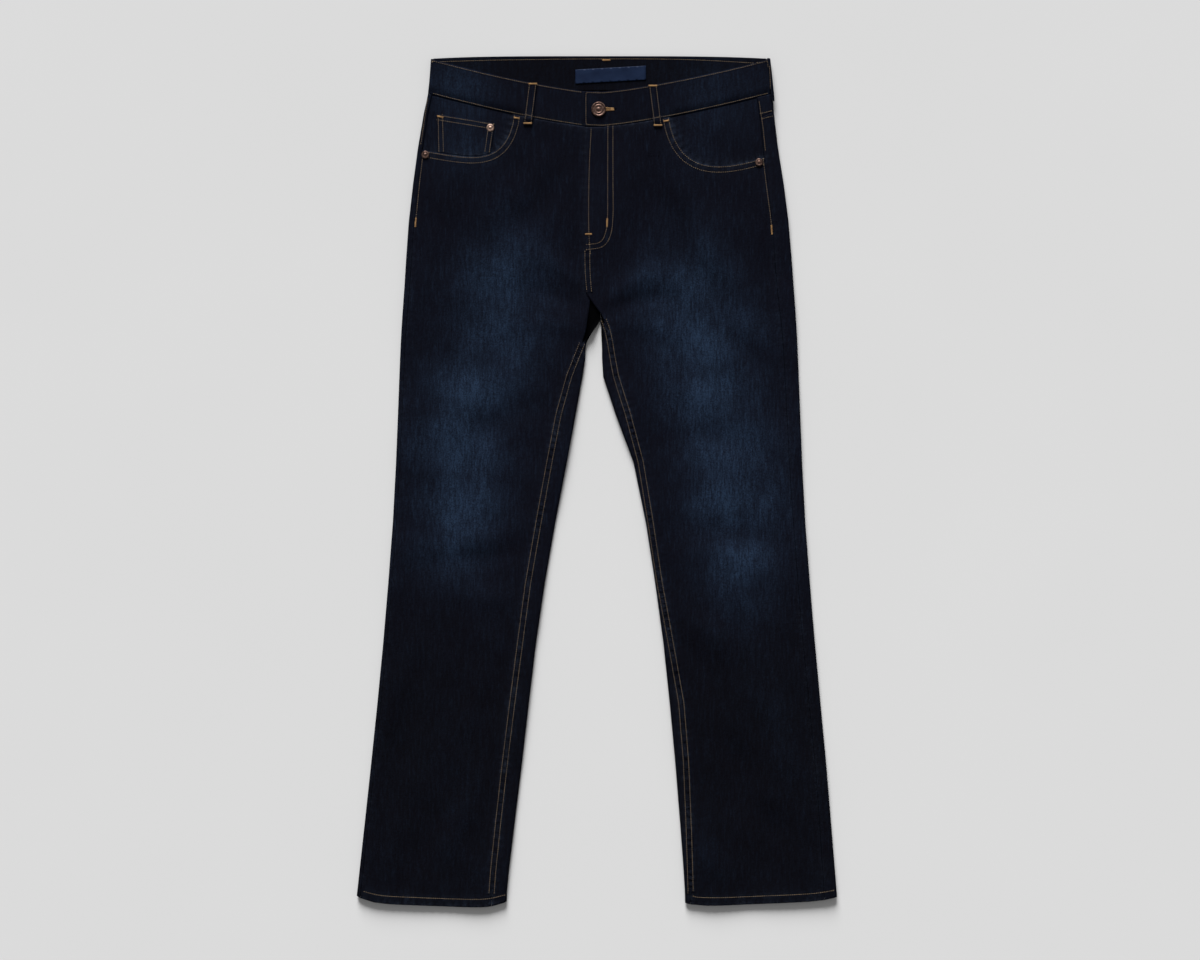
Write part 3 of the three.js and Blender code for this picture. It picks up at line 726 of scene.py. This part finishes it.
def denim(name):
    """Washed twill: slubby warp streaks, fades and worn seam edges over a faint diagonal rib, with
    painted highlight and painted shade on the folds and painted shade in the hollow between the legs.
    """
    s = Shader(name, roughness=0.92, specular=0.015)
    streak = s.noise(STREAK, detail=4, rough=0.65)
    fine_streak = s.noise(FINE_STREAK, detail=2, turn=0.12)
    cloud = s.noise(CLOUD, detail=4, rough=0.6)
    grain = s.noise(GRAIN, detail=3)
    blotch = s.noise(BLOTCH, detail=3)
    thread = s.times(s.band(streak, 0.34, 0.66, 0.5, 1.4), s.band(grain, 0.32, 0.68, 0.45, 1.6))
    thread = s.times(thread, s.band(fine_streak, 0.3, 0.7, 0.65, 1.35))
    base = s.mix(s.attribute("blue"), INDIGO_DARK, INDIGO)
    base = s.mix(s.band(thread, 0.3, 2.0, 0.0, 0.10), base, INDIGO_FADED)
    # The fade attribute also holds the folds' painted highlight and painted shade.
    fade = s.times(s.attribute("fade"), s.band(cloud, 0.3, 0.68, 0.45, 1.2))
    colour = s.mix(s.times(fade, thread), base, INDIGO_FADED)
    slub = s.times(s.band(streak, 0.54, 0.78, 0.0, 0.26), s.band(blotch, 0.4, 0.65, 0.1, 1.0))
    slub = s.times(slub, s.band(s.attribute("blue"), 0, 1, 0.35, 1.0))
    colour = s.mix(slub, colour, INDIGO_FADED)
    rubbed = s.times(s.attribute("wear"), s.band(blotch, 0.38, 0.62, 0.15, 1.0))
    rubbed = s.times(rubbed, s.band(grain, 0.38, 0.6, 0.15, 0.85))
    colour = s.mix(rubbed, colour, INDIGO_WORN)
    # Painted shade: towards near black in the hollow between the legs.
    colour = s.mix(s.attribute("deep"), colour, SHADED)
    rib = s.add(
        "ShaderNodeTexWave", "Fac",
        {"Vector": s.stretched((1, 1, 1), RIB_LEAN), "Scale": RIB_SCALE, "Distortion": 0.6,
         "Detail": 1.0, "Detail Scale": 40.0},
        wave_type="BANDS", bands_direction="X",
    )
    normal = s.bump(rib, RIB_DEPTH)
    normal = s.bump(streak, STREAK_DEPTH, normal)
    normal = s.bump(s.noise(CREPE, detail=4), CREPE_DEPTH, normal)
    return s.done(colour, normal)


TWIST_DEPTH, SCRATCH_DEPTH, WEFT_DEPTH = 0.08 * MM, 0.03 * MM, 0.04 * MM


def thread_material(name, colour, shade_colour):
    """Spun thread: two tones of one colour, twisted."""
    s = Shader(name, roughness=0.75, specular=0.1)
    tone = s.noise((260, 260, 260), detail=2)
    twist = s.noise((2600, 900, 2600), detail=1)
    mixed = s.mix(s.band(tone, 0.35, 0.65), shade_colour, colour)
    return s.done(mixed, s.bump(twist, TWIST_DEPTH))


def copper(name, dark, bright):
    """Antique copper: patches of a dark and of a bright tone, finely scratched."""
    s = Shader(name, roughness=0.42, specular=0.3, metallic=0.9)
    patina = s.noise((420, 420, 420), detail=4)
    scratch = s.noise((1800, 260, 400), detail=2, turn=0.6)
    colour = s.mix(s.band(patina, 0.35, 0.65), dark, bright)
    s.set(s.surface.inputs["Roughness"], s.band(patina, 0.3, 0.7, 0.34, 0.55))
    return s.done(colour, s.bump(scratch, SCRATCH_DEPTH))


NAVY_DARK = (0.0060, 0.0120, 0.0330, 1)
NAVY = (0.0110, 0.0210, 0.0520, 1)


def satin(name):
    """Plain navy satin, with its weft across."""
    s = Shader(name, roughness=0.5, specular=0.06)
    weft = s.noise((60, 2400, 2400), detail=2)
    soft = s.noise((40, 60, 40), detail=2)
    colour = s.mix(s.band(soft, 0.3, 0.7), NAVY_DARK, NAVY)
    return s.done(colour, s.bump(weft, WEFT_DEPTH))


DENIM = denim("denim")
THREAD = thread_material("thread_tan", (0.29, 0.21, 0.13, 1), (0.14, 0.10, 0.064, 1))
THREAD_BAR = thread_material("thread_gold", (0.42, 0.245, 0.105, 1), (0.24, 0.135, 0.060, 1))
COPPER = copper("copper_antique", (0.050, 0.028, 0.022, 1), (0.17, 0.105, 0.085, 1))
# A lighter copper than the other rivets', used for the coin rivet.
COPPER_BRIGHT = copper("copper_rubbed", (0.16, 0.10, 0.08, 1), (0.42, 0.29, 0.23, 1))
SATIN = satin("label_satin")

PANELS = ("front_right", "front_left", "back_right", "back_left")
for node in sorted(NODES):
    if node in ("button", "label") or node.startswith("rivet"):
        continue
    cloth(node, DENIM, LARGE_EDGES if node in PANELS else SMALL_EDGES)
cloth("label", SATIN, LABEL_EDGES)


# ---- Sewing ----
def surface_of(objects):
    """All the cloth so far, for finding its outer face over or under a place."""
    points, faces, start = [], [], 0
    for obj in objects:
        mesh = obj.data
        co = np.zeros(3 * len(mesh.vertices))
        mesh.vertices.foreach_get("co", co)
        points += co.reshape(-1, 3).tolist()
        faces += [[v + start for v in face.vertices] for face in mesh.polygons]
        start += len(mesh.vertices)
    return BVHTree.FromPolygons(points, faces)


def laid_on(tree, path, up=True, missed=None):
    """A path in plan put on the cloth's outer face, with the face's normals.

    A point that misses the cloth is left out, or put at the height given for it.
    """
    points, normals = [], []
    fall = Vector((0, 0, -1 if up else 1))
    for x, y in plan(path):
        start = Vector((x, y, RAY_START if up else -RAY_START))
        hit, normal, _, _ = tree.ray_cast(start, fall)
        if hit is None and missed is None:
            continue
        if hit is None:
            hit, normal = Vector((x, y, missed)), -fall
        points.append(hit)
        normals.append(normal if normal.dot(fall) < 0 else -normal)
    return np.array(points), np.array(normals)


def mesh_of(name, points, faces):
    mesh = bpy.data.meshes.new(name)
    mesh.from_pydata(points, [], faces)
    mesh.update()
    return mesh


def closed_faces(rings, count):
    """The faces of a stack of rings of points, closed at both ends."""
    faces = []
    for j in range(rings - 1):
        for i in range(count):
            a, b = j * count + i, j * count + (i + 1) % count
            faces.append((a, b, b + count, a + count))
    faces.append(tuple(reversed(range(count))))
    faces.append(tuple((rings - 1) * count + i for i in range(count)))
    return faces


def unit(rows):
    return rows / (np.linalg.norm(rows, axis=1)[:, None] + 1e-12)


ROUND = 5
# A stitch's rings: the place in its length, then the size and height, all as shares
SPINDLE = [(-0.5, 0.4, -0.7), (-0.34, 0.95, 0.35), (0.34, 0.95, 0.35), (0.5, 0.4, -0.7)]


def spindle(length, radius):
    """One stitch along X: rings of points, thin and sunk at both ends and full in the middle."""
    points = []
    for along, size, height in SPINDLE:
        for k in range(ROUND):
            turn = 2 * math.pi * k / ROUND
            up = (math.sin(turn) * size + height) * radius
            points.append((along * length, math.cos(turn) * size * radius, up))
    faces = []
    for ring in range(len(SPINDLE) - 1):
        for k in range(ROUND):
            a, b = ring * ROUND + k, ring * ROUND + (k + 1) % ROUND
            faces.append((a, a + ROUND, b + ROUND, b))
    faces.append(tuple(range(ROUND)))
    faces.append(tuple((len(SPINDLE) - 1) * ROUND + k for k in reversed(range(ROUND))))
    return np.array(points), faces


def copies(name, template, centres, along, up, material):
    """One mesh of a template repeated at the centres, along and upright as given."""
    points, faces = template
    side = unit(np.cross(up, along))
    up = np.cross(along, side)
    placed = (
        centres[:, None, :]
        + points[None, :, 0, None] * along[:, None, :]
        + points[None, :, 1, None] * side[:, None, :]
        + points[None, :, 2, None] * up[:, None, :]
    )
    count = len(points)
    every = [tuple(v + k * count for v in face) for k in range(len(centres)) for face in faces]
    obj = add_object(name, mesh_of(name, placed.reshape(-1, 3).tolist(), every), material)
    shade(obj, THREAD_ANGLE)


LONGEST_STEP = 1.8  # of the pitch: a stitch that would be longer has left the cloth
UNDER_SINK = 0.3 * MM  # how far the under side's stitches sink in, where the jeans lie on them
TACK_LEAN = 0.16  # of a bartack's threads, each against the last
TACK_RISE, TACK_SINK = 0.6, -0.3  # of a thread's radius, on the front and on the under side


class Sewing:
    """Stitches collected along many lines on the cloth, then made as one piece."""

    def __init__(self, tree):
        self.tree = tree
        self.centres, self.along, self.up = [], [], []

    def row(self, path, up=True, start=0.0, end=None):
        """A row of running stitches along a line on the cloth."""
        line, normals = laid_on(self.tree, spaced(plan(path), STITCH_PITCH, start, end), up)
        step = np.diff(line, axis=0)
        keep = np.linalg.norm(step, axis=1) < LONGEST_STEP * STITCH_PITCH
        pressed = 0 if up else UNDER_SINK
        self.centres.append(((line[:-1] + line[1:]) / 2)[keep] + (0, 0, pressed))
        self.along.append(unit(step)[keep])
        self.up.append(unit(normals[:-1] + normals[1:])[keep])

    def bars(self, path, up=True, pitch=TACK_PITCH):
        """A bartack: threads side by side across a short line."""
        line, normals = laid_on(self.tree, spaced(plan(path), pitch), up)
        step = unit(np.gradient(line, axis=0))
        lean = np.where(np.arange(len(line)) % 2, TACK_LEAN, -TACK_LEAN)[:, None]
        self.centres.append(line + normals * THREAD_RADIUS * (TACK_RISE if up else TACK_SINK))
        self.along.append(unit(np.cross(normals, step) + step * lean))
        self.up.append(normals)

    def make(self, name, length, radius, material):
        stacked = (np.concatenate(rows) for rows in (self.centres, self.along, self.up))
        copies(name, spindle(length, radius), *stacked, material)


# Across a felled seam's band: the place in its width and the height, as shares
FELL_PROFILE = [(-0.5, -0.9), (-0.485, 0.5), (-0.4, 1.0), (-0.2, 0.82), (0, 0.9), (0.2, 0.82),
                (0.4, 1.0), (0.485, 0.5), (0.5, -0.9)]
FELL_STEP = 1.8 * MM
FELL_DRIFT = 43  # how fast the band's puckers drift from an even wave, in radians a metre
FELL_PUCKER = 0.22  # of its rise
FELL_EDGE_HEIGHT = 2 * MM  # where the band overhangs the cloth
CREST_FROM = 0.3  # of the width, from the middle: the band is worn outside this
CREST_WEAR, CREST_WAVE, LEAST_WEAR = 0.28, 0.24, 0.1


def felled(name, tree, path, width=FELL_WIDTH, rise=FELL_RISE, up=True):
    """The raised band of a felled seam, puckered between its rows of stitches."""
    middle = spaced(plan(path), FELL_STEP)
    distance = measured(middle)
    wave = np.sin(2 * math.pi * distance / PUCKER_WAVE + np.sin(distance * FELL_DRIFT))
    sign = 1 if up else -1
    columns = []
    for place, height in FELL_PROFILE:
        lane = moved(middle, place * width)
        line, _ = laid_on(tree, lane, up, missed=FELL_EDGE_HEIGHT)
        z = line[:, 2] + sign * (height * rise + (FELL_PUCKER * rise * wave if height > 0 else 0))
        columns.append(np.column_stack([lane, z]))
    grid = np.stack(columns, axis=1)
    rows, count = grid.shape[:2]
    points = grid.reshape(-1, 3)
    mesh = mesh_of(name, points.tolist(), closed_faces(rows, count))
    bm = bmesh.new()
    bm.from_mesh(mesh)
    bmesh.ops.recalc_face_normals(bm, faces=bm.faces)
    bm.to_mesh(mesh)
    bm.free()
    fade, blue = faded(points[:, :2])
    crest = np.tile([abs(place) > CREST_FROM for place, _ in FELL_PROFILE], rows)
    wear = np.maximum(np.repeat(CREST_WEAR + CREST_WAVE * wave, count) * crest, LEAST_WEAR)
    add_values(mesh, wear=wear, fade=fade, blue=blue, deep=np.zeros(len(points)))
    shade(add_object(name, mesh, DENIM))


def shortened(path, end):
    """A path that stops short of its end."""
    return spaced(plan(path), LINE_STEP, end=measured(plan(path))[-1] - end)


CENTRE_WIDTH = 9.5 * MM
tree = surface_of(made.values())
for s in sides.values():
    yoke_seam = yoke_seams[s.name][1:-1]
    felled(f"inseam_{s.name}", tree, shortened(s.inseam, INSEAM_SHORT))
    felled(f"yoke_seam_{s.name}", tree, yoke_seam, rise=PRESSED_RISE, up=False)
felled("centre_seam", tree, CENTRE_SEAM, width=CENTRE_WIDTH)
felled("seat_seam", tree, SEAT_SEAM, rise=PRESSED_RISE, up=False)
tree = surface_of(made.values())

sewing, tacks = Sewing(tree), Sewing(tree)


def double(path, up=True, apart=DOUBLE_ROW):
    """Two rows of stitches, one each side of a line."""
    for aside in (-apart / 2, apart / 2):
        sewing.row(moved(spaced(plan(path), LINE_STEP), aside), up=up)


def inset(path, toward, distance):
    """A path moved off itself towards a point in plan."""
    path = spaced(plan(path), FINE_STEP)
    options = (moved(path, distance), moved(path, -distance))
    return min(options, key=lambda option: np.linalg.norm(option.mean(0) - np.array(toward)))


def ring_inside(outline, distance):
    """A closed outline drawn in evenly, with its corners kept."""
    flat = outline[:, :2]
    before, after = np.roll(flat, 1, axis=0), np.roll(flat, -1, axis=0)
    first, second = unit(flat - before), unit(after - flat)
    turned = (first[:, 0] * second[:, 1] - first[:, 1] * second[:, 0]).sum()
    turn = 1 if turned > 0 else -1
    normal = unit(np.column_stack([-(first + second)[:, 1], (first + second)[:, 0]])) * turn
    slant = np.column_stack([-first[:, 1], first[:, 0]]) * turn
    drawn = flat + normal * (distance / np.maximum(0.5, (normal * slant).sum(1)))[:, None]
    return np.vstack([drawn, drawn[:1]])


EDGE_BELOW, EDGE_STEP = 1 * MM, 0.5 * MM  # where the search for the leg's lower edge starts, and its step
EVENED = 7  # points that each height of the hem's line is the mean of


def hem_line(s, up):
    """A line at an even height over the leg's lower edge, from side to side."""
    low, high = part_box(f"back_{s.name}")
    lowest = min(low.y, s.hem[:, 1].min())
    fall = Vector((0, 0, -1 if up else 1))
    line = []
    for x in np.arange(low.x, high.x, LINE_STEP):
        for y in np.arange(lowest - EDGE_BELOW, lowest + HEM_REACH, EDGE_STEP):
            if tree.ray_cast(Vector((x, y, -RAY_START * fall.z)), fall)[0] is not None:
                line.append((x, y + HEM_DEPTH))
                break
    line = np.array(line)
    padded = np.pad(line[:, 1], EVENED // 2, mode="edge")
    even = np.convolve(padded, np.full(EVENED, 1 / EVENED), mode="valid")
    return np.column_stack([line[:, 0], even])


def leg_seams(s):
    """The inseam's double row, and the hem's row on the front and on the back."""
    double(shortened(s.inseam, INSEAM_SHORT))
    for up in (True, False):
        sewing.row(hem_line(s, up), up=up)


# Where the outseam runs above the pocket mouth, from the waistband down
HIP_SEAMS = {
    "right": np.array([(-209, 478), (-214, 446), (-218, 420)]) * MM,
    "left": np.array([(200.5, 474), (205, 445), (208.5, 412)]) * MM,
}


def hip_seam(s):
    """The single row beside the outseam at the hip, from the waistband down to its bartack."""
    hip = spaced(s.outseam, LINE_STEP)
    sewing.row(moved(HIP_SEAMS[s.name], s.sign * EDGE_STITCH))
    beside = inset(hip, (0, hip[:, 1].mean()), EDGE_STITCH)
    sewing.row(beside, end=HIP_ROW)
    tacks.bars(spaced(beside, 1 * MM, start=HIP_ROW, end=HIP_ROW + HIP_TACK))


DOUBLE_INSETS = (EDGE_STITCH, EDGE_STITCH + DOUBLE_ROW)
POCKET_TACK_HALF, POCKET_TACK_DOWN = 4 * MM, 2.4 * MM
MOUTH_START = 1 * MM  # from the waistband to the mouth's first stitch
BELOW_MOUTH = 60 * MM  # the cloth that the mouth's rows are sewn on lies this way


def pocket_mouth(s):
    """The double row along a front pocket's mouth, and the bartack across its upper end."""
    low_hip = (0, s.mouth[:, 1].min() - BELOW_MOUTH)
    rows = [inset(s.mouth, low_hip, distance) for distance in DOUBLE_INSETS]
    for row in rows:
        sewing.row(row, start=MOUTH_START)
    tacks.bars([row[2] for row in rows])


def back_seams(s):
    """The yoke's double row, and a back pocket's, with a bartack at each of its upper corners."""
    double(yoke_seams[s.name][1:-1], up=False)
    outline = rim(f"back_pocket_{s.name}", up=False)
    for distance in DOUBLE_INSETS:
        sewing.row(ring_inside(outline, distance), up=False)
    corners = outline[np.argsort(-outline[:, 1])[:2]]
    for x, y in corners[:, :2]:
        y -= POCKET_TACK_DOWN
        tacks.bars([(x - POCKET_TACK_HALF, y), (x + POCKET_TACK_HALF, y)], up=False)


for s in sides.values():
    leg_seams(s)
    hip_seam(s)
    pocket_mouth(s)
    back_seams(s)
double(CENTRE_SEAM, apart=DOUBLE_ROW * 0.9)
double(SEAT_SEAM, up=False)

# The row along the fly's edge, the outer and inner rows of its curve, and its bartacks. Millimetres.
FLY_ROWS = [
    [(-6.9, 443), (-9.7, 386), (-10.1, 314), (-7.8, 283)],
    [(20, 444), (20, 380), (20, 330), (16.5, 306), (7, 293), (-14, 289)],
    [(13.7, 444), (13.5, 380), (13.2, 328), (10, 308), (3, 298), (-14, 295.5)],
]
FLY_BARS = [
    [(-14.2, 308.6), (-6.5, 308.6)],
    [(12.9, 328), (12.6, 318)],
]
for row in FLY_ROWS:
    sewing.row(curve(np.array(row) * MM))
for bar in FLY_BARS:
    tacks.bars(np.array(bar) * MM)

COIN_ROWS_APART = 5.5 * MM
COIN_BELOW = np.array([0, 25 * MM])  # from the mouth's middle to the pocket's
COIN_TACK_START = np.array([1 * MM, -3 * MM])  # from the outer end of the mouth
COIN_TACK_RUN = np.array([7 * MM, -1.5 * MM])


def coin_pocket():
    """Double rows down the coin pocket's sides and along its mouth, and a bartack at its corner."""
    outline = rim("coin_pocket")
    top = outline[np.argmax(outline[:, 1] - 0.4 * outline[:, 0])][:2]
    inner = outline[np.argmax(outline[:, 1] + 2.0 * outline[:, 0])][:2]
    low_outer = outline[np.argmax(-outline[:, 1] - 2.0 * outline[:, 0])][:2]
    inner_end = outline[np.argmax(outline[:, 0] - 2.0 * outline[:, 1])][:2]
    middle = (top + inner) / 2 - COIN_BELOW
    for distance in (EDGE_STITCH, EDGE_STITCH + COIN_ROWS_APART):
        sewing.row(inset([top, inner], middle, distance))
        sewing.row(inset([top, low_outer], middle, distance))
        sewing.row(inset([inner, inner_end], middle, distance))
    corner = top + COIN_TACK_START
    tacks.bars([corner, corner + COIN_TACK_RUN])


coin_pocket()

BAND_FOLD = 5 * MM  # from the side folds, where the waistband's rows turn under
LAP_GAP = 2 * MM  # from the upper end to where the lower end's rows start
MIDDLE_INSET = 4 * MM
MIDDLES = 12


def band_middle(outline):
    """The waistband's middle height at a few places across it."""
    xs = np.linspace(outline[:, 0].min() + MIDDLE_INSET, outline[:, 0].max() - MIDDLE_INSET, MIDDLES)
    ys = [np.sort(outline[np.argsort(np.abs(outline[:, 0] - x))[:4], 1]).mean() for x in xs]
    return xs, ys


def band_rows():
    """The waistband's row round its upper end, and along both edges of its lower one."""
    ring = spaced(ring_inside(BAND_OVER, EDGE_STITCH), FINE_STEP)
    fold = BAND_OVER[:, 0].max() - BAND_FOLD
    start = int(np.argmax(ring[:, 0] > fold))
    ring = np.roll(ring[:-1], -start, axis=0)
    sewing.row(ring[ring[:, 0] < fold])
    end = BAND_OVER[:, 0].min() - LAP_GAP
    ring = spaced(ring_inside(BAND_UNDER, EDGE_STITCH), FINE_STEP)
    fold = BAND_UNDER[:, 0].min() + BAND_FOLD
    ring = ring[(ring[:, 0] > fold) & (ring[:, 0] < end)]
    centre = np.interp(ring[:, 0], *band_middle(BAND_UNDER))
    for part in (ring[ring[:, 1] > centre], ring[ring[:, 1] <= centre]):
        sewing.row(part[np.argsort(part[:, 0])])


band_rows()

LOOP_END = 6 * MM  # the points this near a loop's end give its middle
LOOP_ROW = 3.9 * MM  # from the loop's middle line to each row
LOOP_STEP = 4 * MM
LOOP_TACK_IN, LOOP_TACK_HALF = 1.4 * MM, 5 * MM


def belt_loop(node, up):
    """Rows down both edges of a loop and a bartack at each end."""
    outline = rim(node, up=up)[:, :2]
    low, high = outline[:, 1].min(), outline[:, 1].max()
    bottom = outline[outline[:, 1] < low + LOOP_END].mean(0)
    top = outline[outline[:, 1] > high - LOOP_END].mean(0)
    for aside in (-LOOP_ROW, LOOP_ROW):
        sewing.row(moved(spaced([top, bottom], LOOP_STEP), aside), up=up)
    for x, y in (top, bottom):
        y += -LOOP_TACK_IN if y > bottom[1] else LOOP_TACK_IN
        tacks.bars([(x - LOOP_TACK_HALF, y), (x + LOOP_TACK_HALF, y)], up=up)


belt_loop("belt_loop_front_right", up=True)
belt_loop("belt_loop_front_left", up=True)
belt_loop("belt_loop_side_right", up=False)
belt_loop("belt_loop_back", up=False)

# What shows inside and beside the waistband: its back's row, the back loop's tack, the side loop's
# row and the yoke's rows at the left side. Millimetres.
BACK_ROW = [(-196, 524), (-120, 526.2), (0, 527.6), (110, 526.8), (204, 522)]
BACK_TACK = [(7, 526.2), (16.5, 526.2)]
SIDE_ROWS = [
    [(215.2, 518), (216.4, 489)],
    [(203, 458.5), (221, 463)],
    [(204.5, 452), (220, 456)],
]
sewing.row(spaced(curve(np.array(BACK_ROW) * MM), LINE_STEP))
tacks.bars(np.array(BACK_TACK) * MM)
for row in SIDE_ROWS:
    sewing.row(np.array(row) * MM)

HOLE_START = 1 * MM  # in from the button's edge
HOLE_LENGTH = 10.5 * MM
HOLE_HALF = 0.9 * MM
HOLE_EYE = 1.6  # how much wider the hole is at the button
HOLE_TAIL = 3 * MM  # of its length that is narrow
HOLE_ROUND = 0.3 * MM
HOLE_PITCH = 0.6 * MM


def buttonhole():
    """Close stitches down both sides of the buttonhole's tail, and round its end."""
    low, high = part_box("button")
    x, y = high.x - HOLE_START, (low.y + high.y) / 2
    end = x + HOLE_LENGTH
    for aside in (HOLE_HALF, -HOLE_HALF):
        line = [(x, y + HOLE_EYE * aside), (end - HOLE_TAIL, y + aside), (end, y + aside)]
        tacks.bars(line, pitch=HOLE_PITCH)
    tacks.bars([(end, y + HOLE_HALF), (end + HOLE_ROUND, y - HOLE_HALF)], pitch=HOLE_PITCH)


buttonhole()
sewing.make("stitches", STITCH_LENGTH, THREAD_RADIUS, THREAD)
tacks.make("bartacks", TACK_LENGTH, TACK_RADIUS, THREAD_BAR)


# ---- Metal ----
AROUND = 64
# From the bottom up, as shares of the radius, with millimetres above the cloth for the rivet and
# above the shank for the button
RIVET_PROFILE = [
    (1.0, 0), (1.0, 0.35), (0.93, 0.75), (0.8, 0.95), (0.62, 0.9), (0.56, 0.72), (0.46, 0.74),
    (0.36, 1.15), (0.2, 1.45), (0.02, 1.55),
]
SHANK_SHARE = 0.26
BUTTON_HEAD = 2.1 * MM
BUTTON_PROFILE = [
    (SHANK_SHARE, 0), (0.86, 0), (0.97, 0.4), (1.0, 0.9), (0.99, 1.4), (0.94, 1.9), (0.88, 2.05),
    (0.82, 1.9), (0.78, 1.5), (0.7, 1.35), (0.64, 1.45), (0.6, 1.75), (0.54, 1.85), (0.48, 1.7),
    (0.44, 1.4), (0.3, 1.3), (0.24, 1.45), (0.18, 1.8), (0.08, 1.95), (0.01, 2.0),
]
RIVET_BEDDED = 0.2 * MM  # into the cloth
RIVET_DROP = 0.3 * MM  # below its solid's foot at most
OVER_RIVET = 50 * MM


def lathe(name, profile, centre, material, node):
    """A turned piece on an upright axis."""
    points = []
    for radius, height in profile:
        for k in range(AROUND):
            turn = 2 * math.pi * k / AROUND
            x, y = radius * math.cos(turn), radius * math.sin(turn)
            points.append((centre.x + x, centre.y + y, centre.z + height))
    mesh = mesh_of(name, points, closed_faces(len(profile), AROUND))
    obj = add_object(name, mesh, material)
    shade(obj, METAL_ANGLE)
    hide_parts(node)


def foot_of(node):
    """The radius of a metal piece's solid, the middle of its foot and its height."""
    low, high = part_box(node)
    centre = Vector(((low.x + high.x) / 2, (low.y + high.y) / 2, low.z))
    return (high.x - low.x) / 2, centre, high.z - low.z


def rivet(node):
    """A rivet's domed head with its raised rim, set down on the cloth."""
    radius, centre, _ = foot_of(node)
    hit, _, _, _ = tree.ray_cast(centre + Vector((0, 0, OVER_RIVET)), Vector((0, 0, -1)))
    centre.z = max(hit.z - RIVET_BEDDED if hit else centre.z, centre.z - RIVET_DROP)
    profile = [(radius * share, height * MM) for share, height in RIVET_PROFILE]
    metal = COPPER_BRIGHT if node == "rivet_coin" else COPPER
    lathe(node + "_head", profile, centre, metal, node)


def button():
    """A shank button with a rolled rim, an inner ring and a boss."""
    radius, centre, height = foot_of("button")
    lift = height - BUTTON_HEAD
    profile = [(radius * SHANK_SHARE, 0)]
    profile += [(radius * share, lift + up * MM) for share, up in BUTTON_PROFILE]
    lathe("button_head", profile, centre, COPPER, "button")


button()
for node in ("rivet_side_right", "rivet_side_left", "rivet_coin"):
    rivet(node)


for name, obj in list(made.items()):
    if not name.startswith("cloth_"):
        continue
    node = name.removeprefix("cloth_")


# ---- Floor, light and camera ----
FLOOR_SIZE = 8  # metres
FLOOR_LEVEL = -0.15 * MM
FLOOR_GREY, FLOOR_PALE = (0.70, 0.70, 0.70, 1), (0.72, 0.72, 0.72, 1)
FLOOR_BUMP = 0.01 * MM
SUN_TURN = 8  # degrees, from straight beyond the waist
WORLD_STRENGTH = 0.25
CAMERA_PLACE = (3.9 * MM, 2 * MM, 3.0)
LENS, SENSOR = 72, 36  # millimetres


def floor():
    bpy.ops.mesh.primitive_plane_add(size=FLOOR_SIZE, location=(0, 0, FLOOR_LEVEL))
    obj = bpy.context.object
    obj.name = "floor"
    s = Shader("floor_paper", roughness=0.95, specular=0.1)
    tone = s.noise((3, 3, 3), detail=2)
    colour = s.mix(tone, FLOOR_GREY, FLOOR_PALE)
    obj.data.materials.append(s.done(colour, s.bump(tone, FLOOR_BUMP)))
    obj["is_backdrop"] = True


def window(power, height, softness):
    """A broad soft light beyond the waist, a little to one side, even over the whole floor.

    The height above the horizon and the softness are in degrees.
    """
    data = bpy.data.lights.new("window", "SUN")
    data.energy = power
    data.angle = math.radians(softness)
    obj = bpy.data.objects.new("window", data)
    bpy.context.scene.collection.objects.link(obj)
    tilt = math.radians(90 - height)
    obj.rotation_euler = (-tilt, 0, math.radians(SUN_TURN))


floor()
window(power=6.0, height=23, softness=30)
world = bpy.data.worlds.new("studio")
world.use_nodes = True
background = world.node_tree.nodes["Background"]
background.inputs["Color"].default_value = (1, 1, 1, 1)
background.inputs["Strength"].default_value = WORLD_STRENGTH
bpy.context.scene.world = world
bpy.context.scene.view_settings.view_transform = "Standard"

camera = bpy.data.cameras.new("camera")
camera.lens = LENS
camera.sensor_width = SENSOR
view = bpy.data.objects.new("camera", camera)
view.location = CAMERA_PLACE
bpy.context.scene.collection.objects.link(view)
bpy.context.scene.camera = view

low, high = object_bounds()
